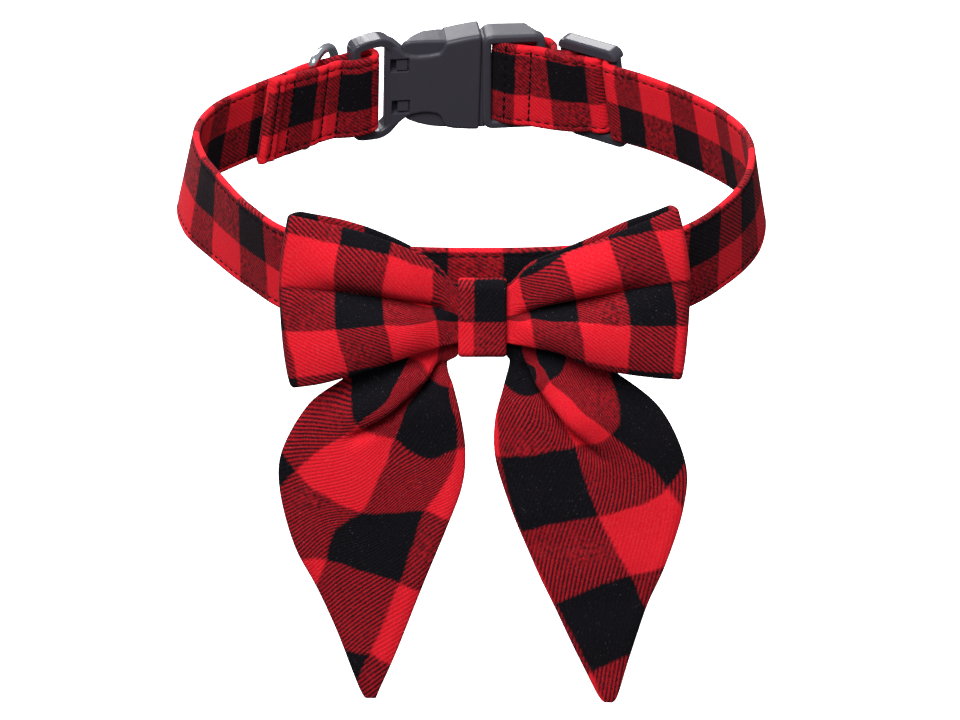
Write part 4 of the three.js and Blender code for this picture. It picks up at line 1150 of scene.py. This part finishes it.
def moulded_block(top, bottom, origin, axes, front, backs, corner, front_steps, windows=()):
    """A moulded block between a top and a bottom edge, which are read as lengths along and up its front. At
    each place along it the section is a rounded rectangle from edge to edge. Each end is rounded as a
    quarter circle and closed by a ring that has shrunk to a point. A window is sunk in the front, with a
    step left in it."""
    along, out, up = axes
    first, last = max(top[0, 0], bottom[0, 0]), min(top[-1, 0], bottom[-1, 0])
    eased = np.array([0, 0, 0.1, 0.35, BLOCK_END])
    walls = np.array([-WINDOW["wall"], WINDOW["wall"]])
    sides = [edge + walls for left, right, _, _, step in windows for edge in (left, right, *step[:2])]
    straight = BLOCK_END + 0.25
    at = np.sort(np.concatenate([np.linspace(first + straight, last - straight, BLOCK_STATIONS), *sides]))
    at = np.concatenate([first + eased, at, last - eased[::-1]])
    to_end = np.minimum(np.minimum(at - first, last - at) / BLOCK_END, 1)
    inset = BLOCK_END * (1 - np.sqrt(1 - (1 - to_end) ** 2))
    high, low = np.interp(at, *top.T), np.interp(at, *bottom.T)
    half, middle = (high - low) / 2 - inset, (high + low) / 2
    back = np.interp(at, *np.array(backs).T)
    deep, centre = (back - front) / 2 - inset, (back + front) / 2
    section = rounded_section(front_steps, SIDE_STEPS)
    height = section[None, :, 0] * (half - corner)[:, None] + section[None, :, 1] * corner
    depth = section[None, :, 2] * (deep - corner)[:, None] + section[None, :, 3] * corner
    height[[0, -1]] = 0
    depth[[0, -1]] = 0
    height = height + middle[:, None]
    depth = depth + centre[:, None]
    # The rows down the front lie level, so that a window's edges do, and stop at the block's own edges.
    edges = [edge + walls for _, _, upper, lower, step in windows for edge in (upper, lower, *step[2:])]
    levels = np.linspace(high.max(), low.min(), front_steps - 2 * len(edges))
    levels = np.sort(np.concatenate([levels, *edges]))[::-1]
    down_front = slice(CORNER_PLACES, CORNER_PLACES + front_steps)
    flat_half = np.maximum(half - corner, 0.0)[:, None]
    flat_half[[0, -1]] = 0
    height[:, down_front] = np.clip(levels, middle[:, None] - flat_half, middle[:, None] + flat_half)
    sunk = np.zeros_like(depth)
    facing = (section[None, :, 2] < 0) & (np.abs(section[None, :, 3]) > 0.999)
    place = at[:, None]
    for left, right, upper, lower, step in windows:
        inside = facing & (place > left) & (place < right) & (height < upper) & (height > lower)
        on_step = (place > step[0]) & (place < step[1]) & (height < step[2]) & (height > step[3])
        sunk = np.where(inside, np.where(on_step, WINDOW["step_depth"], WINDOW["depth"]), sunk)
    depth = depth + sunk
    return origin + place[..., None] * along + depth[..., None] * out + height[..., None] * up


def moulded_bar(line, origin, axes, thick, front, back, corner, ring):
    """A bar of rounded rectangular section carried along a line given as lengths along and up. The line is
    cut into even steps and each place is the mean of the five round it, which rounds the corners."""
    along, out, up = axes
    run = np.concatenate([[0], np.cumsum(np.linalg.norm(np.diff(line, axis=0), axis=1))])
    count = int(run[-1] / BAR_STEP)
    at = np.linspace(0, run[-1], count + 1)
    even = np.column_stack([np.interp(at, run, line[:, 0]), np.interp(at, run, line[:, 1])])
    mode = "wrap" if ring else "edge"
    body = even[:-1] if ring else even
    padded = np.pad(body, ((2, 2), (0, 0)), mode=mode)
    smooth = np.stack([padded[k : k + len(body)] for k in range(5)]).mean(axis=0)
    if ring:
        ahead = np.roll(smooth, -1, axis=0) - np.roll(smooth, 1, axis=0)
    else:
        ahead = np.gradient(smooth, axis=0)
    ahead /= np.linalg.norm(ahead, axis=1, keepdims=True)
    side = np.column_stack([-ahead[:, 1], ahead[:, 0]])
    fronts, backs = (np.interp(smooth[:, 0], *np.array(ends).T) for ends in (front, back))
    section = rounded_section(4, 6)
    half = np.full((len(smooth), 1), thick / 2 - corner)
    offset = section[None, :, 0] * half + section[None, :, 1] * corner
    centre = ((fronts + backs) / 2)[:, None]
    deep = ((backs - fronts) / 2 - corner)[:, None]
    depth = centre + section[None, :, 2] * deep + section[None, :, 3] * corner
    if not ring:
        offset[[0, -1]] = 0
        depth[[0, -1]] = centre[[0, -1]]
    flat = smooth[:, None, :] + offset[..., None] * side[:, None, :]
    return origin + flat[..., :1] * along + depth[..., None] * out + flat[..., 1:] * up


def moulding(name, tubes, closed, material):
    """One piece from several tubes of rings. A tube is turned inside out where its volume comes out
    negative, its shrunken ends are welded, and sharp edges are kept crisp."""
    places = []
    quads = []
    count = 0
    for rings, ring in zip(tubes, closed):
        faces = closed_tube(np.concatenate([rings, rings[:1]]) if ring else rings)
        if ring:
            faces = faces % (rings.shape[0] * rings.shape[1])
        flat = rings.reshape(-1, 3)
        corners = flat[faces] - flat.mean(axis=0)
        volume = (np.cross(corners[:, 0], corners[:, 1]) * corners[:, 2]).sum()
        volume += (np.cross(corners[:, 0], corners[:, 2]) * corners[:, 3]).sum()
        places.append(flat)
        quads.append((faces if volume > 0 else faces[:, ::-1]) + count)
        count += len(flat)
    made = surface(name, np.concatenate(places), np.concatenate(quads), None, material)
    made.data.set_sharp_from_angle(angle=math.radians(CRISP_EDGE))
    weld = made.modifiers.new("closed_ends", "WELD")
    weld.merge_threshold = 0.000002
    return made


buckle_axes = leaning_axes(BUCKLE["heading"])
buckle_origin = np.array([BUCKLE["x"], BUCKLE["y"], 0.0])
windows = []
for opening in WINDOWS:
    found = []
    for left, right, top, bottom in (opening["window"], opening["step"]):
        corners = seen_on([(left, top), (right, bottom)], buckle_origin, buckle_axes, BUCKLE_FRONT)
        found.append((corners[0, 0], corners[1, 0], corners[0, 1], corners[1, 1]))
    windows.append((*found[0], found[1]))
body = moulded_block(
    seen_on(BODY_TOP, buckle_origin, buckle_axes, BUCKLE_FRONT),
    seen_on(BODY_BOTTOM, buckle_origin, buckle_axes, BUCKLE_FRONT),
    buckle_origin,
    buckle_axes,
    BUCKLE_FRONT,
    BODY_BACKS,
    BODY_CORNER,
    BUCKLE_FRONT_STEPS,
    windows,
)
along, out, up = buckle_axes
c, s = cos_sin(FRAME_BEND["turn"])
frame_axes = (along * c + out * s, out * c - along * s, up)
frame_origin = buckle_origin + FRAME_BEND["x"] * along + FRAME_BEND["y"] * out
bar_half = BENT_BAR["half_depth"]
bent_frame = moulded_bar(
    seen_on(FRAME_LINE, frame_origin, frame_axes, -bar_half),
    frame_origin,
    frame_axes,
    BENT_BAR["thick"],
    [(-20, -bar_half), (20, -bar_half)],
    [(-20, bar_half), (20, bar_half)],
    BENT_BAR["corner"],
    False,
)
female = moulding("female_buckle_moulding", [body, bent_frame], [False, False], plastic)
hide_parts("female_buckle")
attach(female, "collar")

# The buckle's male half is moulded in the same acetal: a frame for the strap, a shoulder, and two prongs
# that click into the female half. Of the prongs only the thumb pads are made, which fill the scoops in the
# body's edges. The rest of them is inside the body.
TOP_PAD = [(402, 46), (406, 43.2), (411, 42), (425, 41.2), (440, 41), (450, 41.4)]
BOTTOM_PAD = [(402, 116), (408, 120.6), (418, 124.2), (430, 126.8), (440, 127.6), (450, 127.8)]
PAD_BACKS = [(-30, -1.6), (-21.4, -1.6), (-19.4, 0.4), (-16.5, 2.4), (-12, 3.4), (0, 3.5)]
PAD = {"front": -3.5, "height": 9.0, "corner": 0.8}
SMALL_FRONT_STEPS = 40
MALE_LINE = [
    (487.2, 80), (487.2, 46), (488.4, 42.4), (492, 41), (537, 39.4), (540.6, 40.8), (541.8, 45),
    (541.8, 118), (540.4, 122.4), (537, 123.8), (492, 125.8), (488.4, 124.6), (487.2, 121), (487.2, 80),
]
MALE_BAR = {"thick": 2.7, "corner": 0.9}
MALE_BACKS = [(0, 3.4), (13.0, 3.0), (15.6, -1.1), (20, -1.1)]
# Where the halves meet, the male half's shoulder stands a little below both outlines.
SHOULDER_TOP = [(478, 39.8), (489, 38.6)]
SHOULDER_BOTTOM = [(478, 128.2), (489, 127.8)]
SHOULDER = {"front": -3.7, "back": 2.8, "corner": 1.0}

pads = []
for pad in (TOP_PAD, BOTTOM_PAD):
    edge = seen_on(pad, buckle_origin, buckle_axes, PAD["front"])
    inner = np.column_stack([edge[:, 0], edge[:, 1] - math.copysign(PAD["height"], edge[0, 1])])
    high, low = (edge, inner) if edge[0, 1] > 0 else (inner, edge)
    pads.append(
        moulded_block(
            high, low, buckle_origin, buckle_axes, PAD["front"], PAD_BACKS, PAD["corner"], SMALL_FRONT_STEPS
        )
    )
male_ring = moulded_bar(
    seen_on(MALE_LINE, buckle_origin, buckle_axes, BUCKLE_FRONT),
    buckle_origin,
    buckle_axes,
    MALE_BAR["thick"],
    [(0, BUCKLE_FRONT), (20, BUCKLE_FRONT)],
    MALE_BACKS,
    MALE_BAR["corner"],
    True,
)
shoulder = moulded_block(
    seen_on(SHOULDER_TOP, buckle_origin, buckle_axes, SHOULDER["front"]),
    seen_on(SHOULDER_BOTTOM, buckle_origin, buckle_axes, SHOULDER["front"]),
    buckle_origin,
    buckle_axes,
    SHOULDER["front"],
    [(-10, SHOULDER["back"]), (10, SHOULDER["back"])],
    SHOULDER["corner"],
    SMALL_FRONT_STEPS,
)
male = moulding("male_buckle_moulding", [*pads, shoulder, male_ring], [False, False, False, True], plastic)
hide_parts("male_buckle")
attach(male, "collar")

# The slide is a flat plate of the same plastic with two slots, and the strap runs through them over the bar
# between. It is the CAD solid, and only its edges are eased, as the mould leaves them.
EASED_EDGE = {"width": 0.35, "from_degrees": 40}

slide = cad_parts["tri_glide"]
slide.data.materials.clear()
slide.data.materials.append(plastic)
weld = slide.modifiers.new("weld", "WELD")
weld.merge_threshold = 0.00001
ease = slide.modifiers.new("eased_edges", "BEVEL")
ease.width = EASED_EDGE["width"] / 1000
ease.segments = 2
ease.limit_method = "ANGLE"
ease.angle_limit = math.radians(EASED_EDGE["from_degrees"])

# The ring is chromed steel wire, bent to a D. It hangs by its straight bar in the fold of the strap
# behind the buckle, and swings about that bar.
RING = {"x": -47.4, "y": 52.5, "wire": 1.3, "half": 14.5, "corner": 2.4, "leg": 5.0, "direction": 70.0}
CHROME_COLOUR = "#D6D8DC"

chrome, tree = new_material("bright_chrome_plate")
# Chrome plate on drawn wire is a near mirror, a little softened by wear.
settings = {"Base Color": linear(CHROME_COLOUR), "Metallic": 1.0, "Roughness": 0.13}
shader = add(tree, "BsdfPrincipled", settings)
add(tree, "OutputMaterial", {"Surface": shader.outputs[0]})


def arc(centre_x, centre_z, radius, first, last, steps):
    """Places on a circle from one angle to another, in the ring's own plane."""
    angle = np.radians(np.linspace(first, last, steps))
    return np.column_stack([centre_x + radius * np.cos(angle), centre_z + radius * np.sin(angle)])


bend = RING["corner"]
ring_half = RING["half"]
bar_z = np.linspace(ring_half - bend, bend - ring_half, 16)[1:-1]
wire_line = np.concatenate(
    [
        arc(bend, bend - ring_half, bend, 180, 270, 9),
        arc(RING["leg"], 0, ring_half, -90, 90, 57),
        arc(bend, ring_half - bend, bend, 90, 180, 9),
        np.column_stack([np.zeros_like(bar_z), bar_z]),
    ]
)
tangent = np.roll(wire_line, -1, axis=0) - np.roll(wire_line, 1, axis=0)
tangent /= np.linalg.norm(tangent, axis=1, keepdims=True)
turn = np.linspace(0, 2 * math.pi, 21)[:-1]
side_x = -tangent[:, 1, None] * np.cos(turn) * RING["wire"]
side_z = tangent[:, 0, None] * np.cos(turn) * RING["wire"]
side_y = np.broadcast_to(np.sin(turn) * RING["wire"], side_x.shape)
local = np.stack([wire_line[:, 0, None] + side_x, side_y, wire_line[:, 1, None] + side_z], axis=-1)


def rotated(places, axis, degrees):
    """Places turned about the x axis (0) or the z axis (2) through the origin."""
    c, s = cos_sin(degrees)
    matrix = [[1, 0, 0], [0, c, -s], [0, s, c]] if axis == 0 else [[c, -s, 0], [s, c, 0], [0, 0, 1]]
    return places @ np.array(matrix).T


ring_heading = math.degrees(math.atan2(-RING["x"], RING["y"]))
swung = rotated(local, 2, RING["direction"] - ring_heading)
placed = rotated(rotated(swung, 0, HARDWARE_LEAN), 2, ring_heading)
placed = placed + np.array([RING["x"], RING["y"], 0.0])
ids = np.arange(placed.shape[0] * placed.shape[1]).reshape(placed.shape[:2])
ids = np.pad(ids, ((0, 1), (0, 1)), mode="wrap")
ring = surface("d_ring_wire", placed.reshape(-1, 3), grid_corners(ids), None, chrome)
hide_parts("d_ring")
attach(ring, "ring")
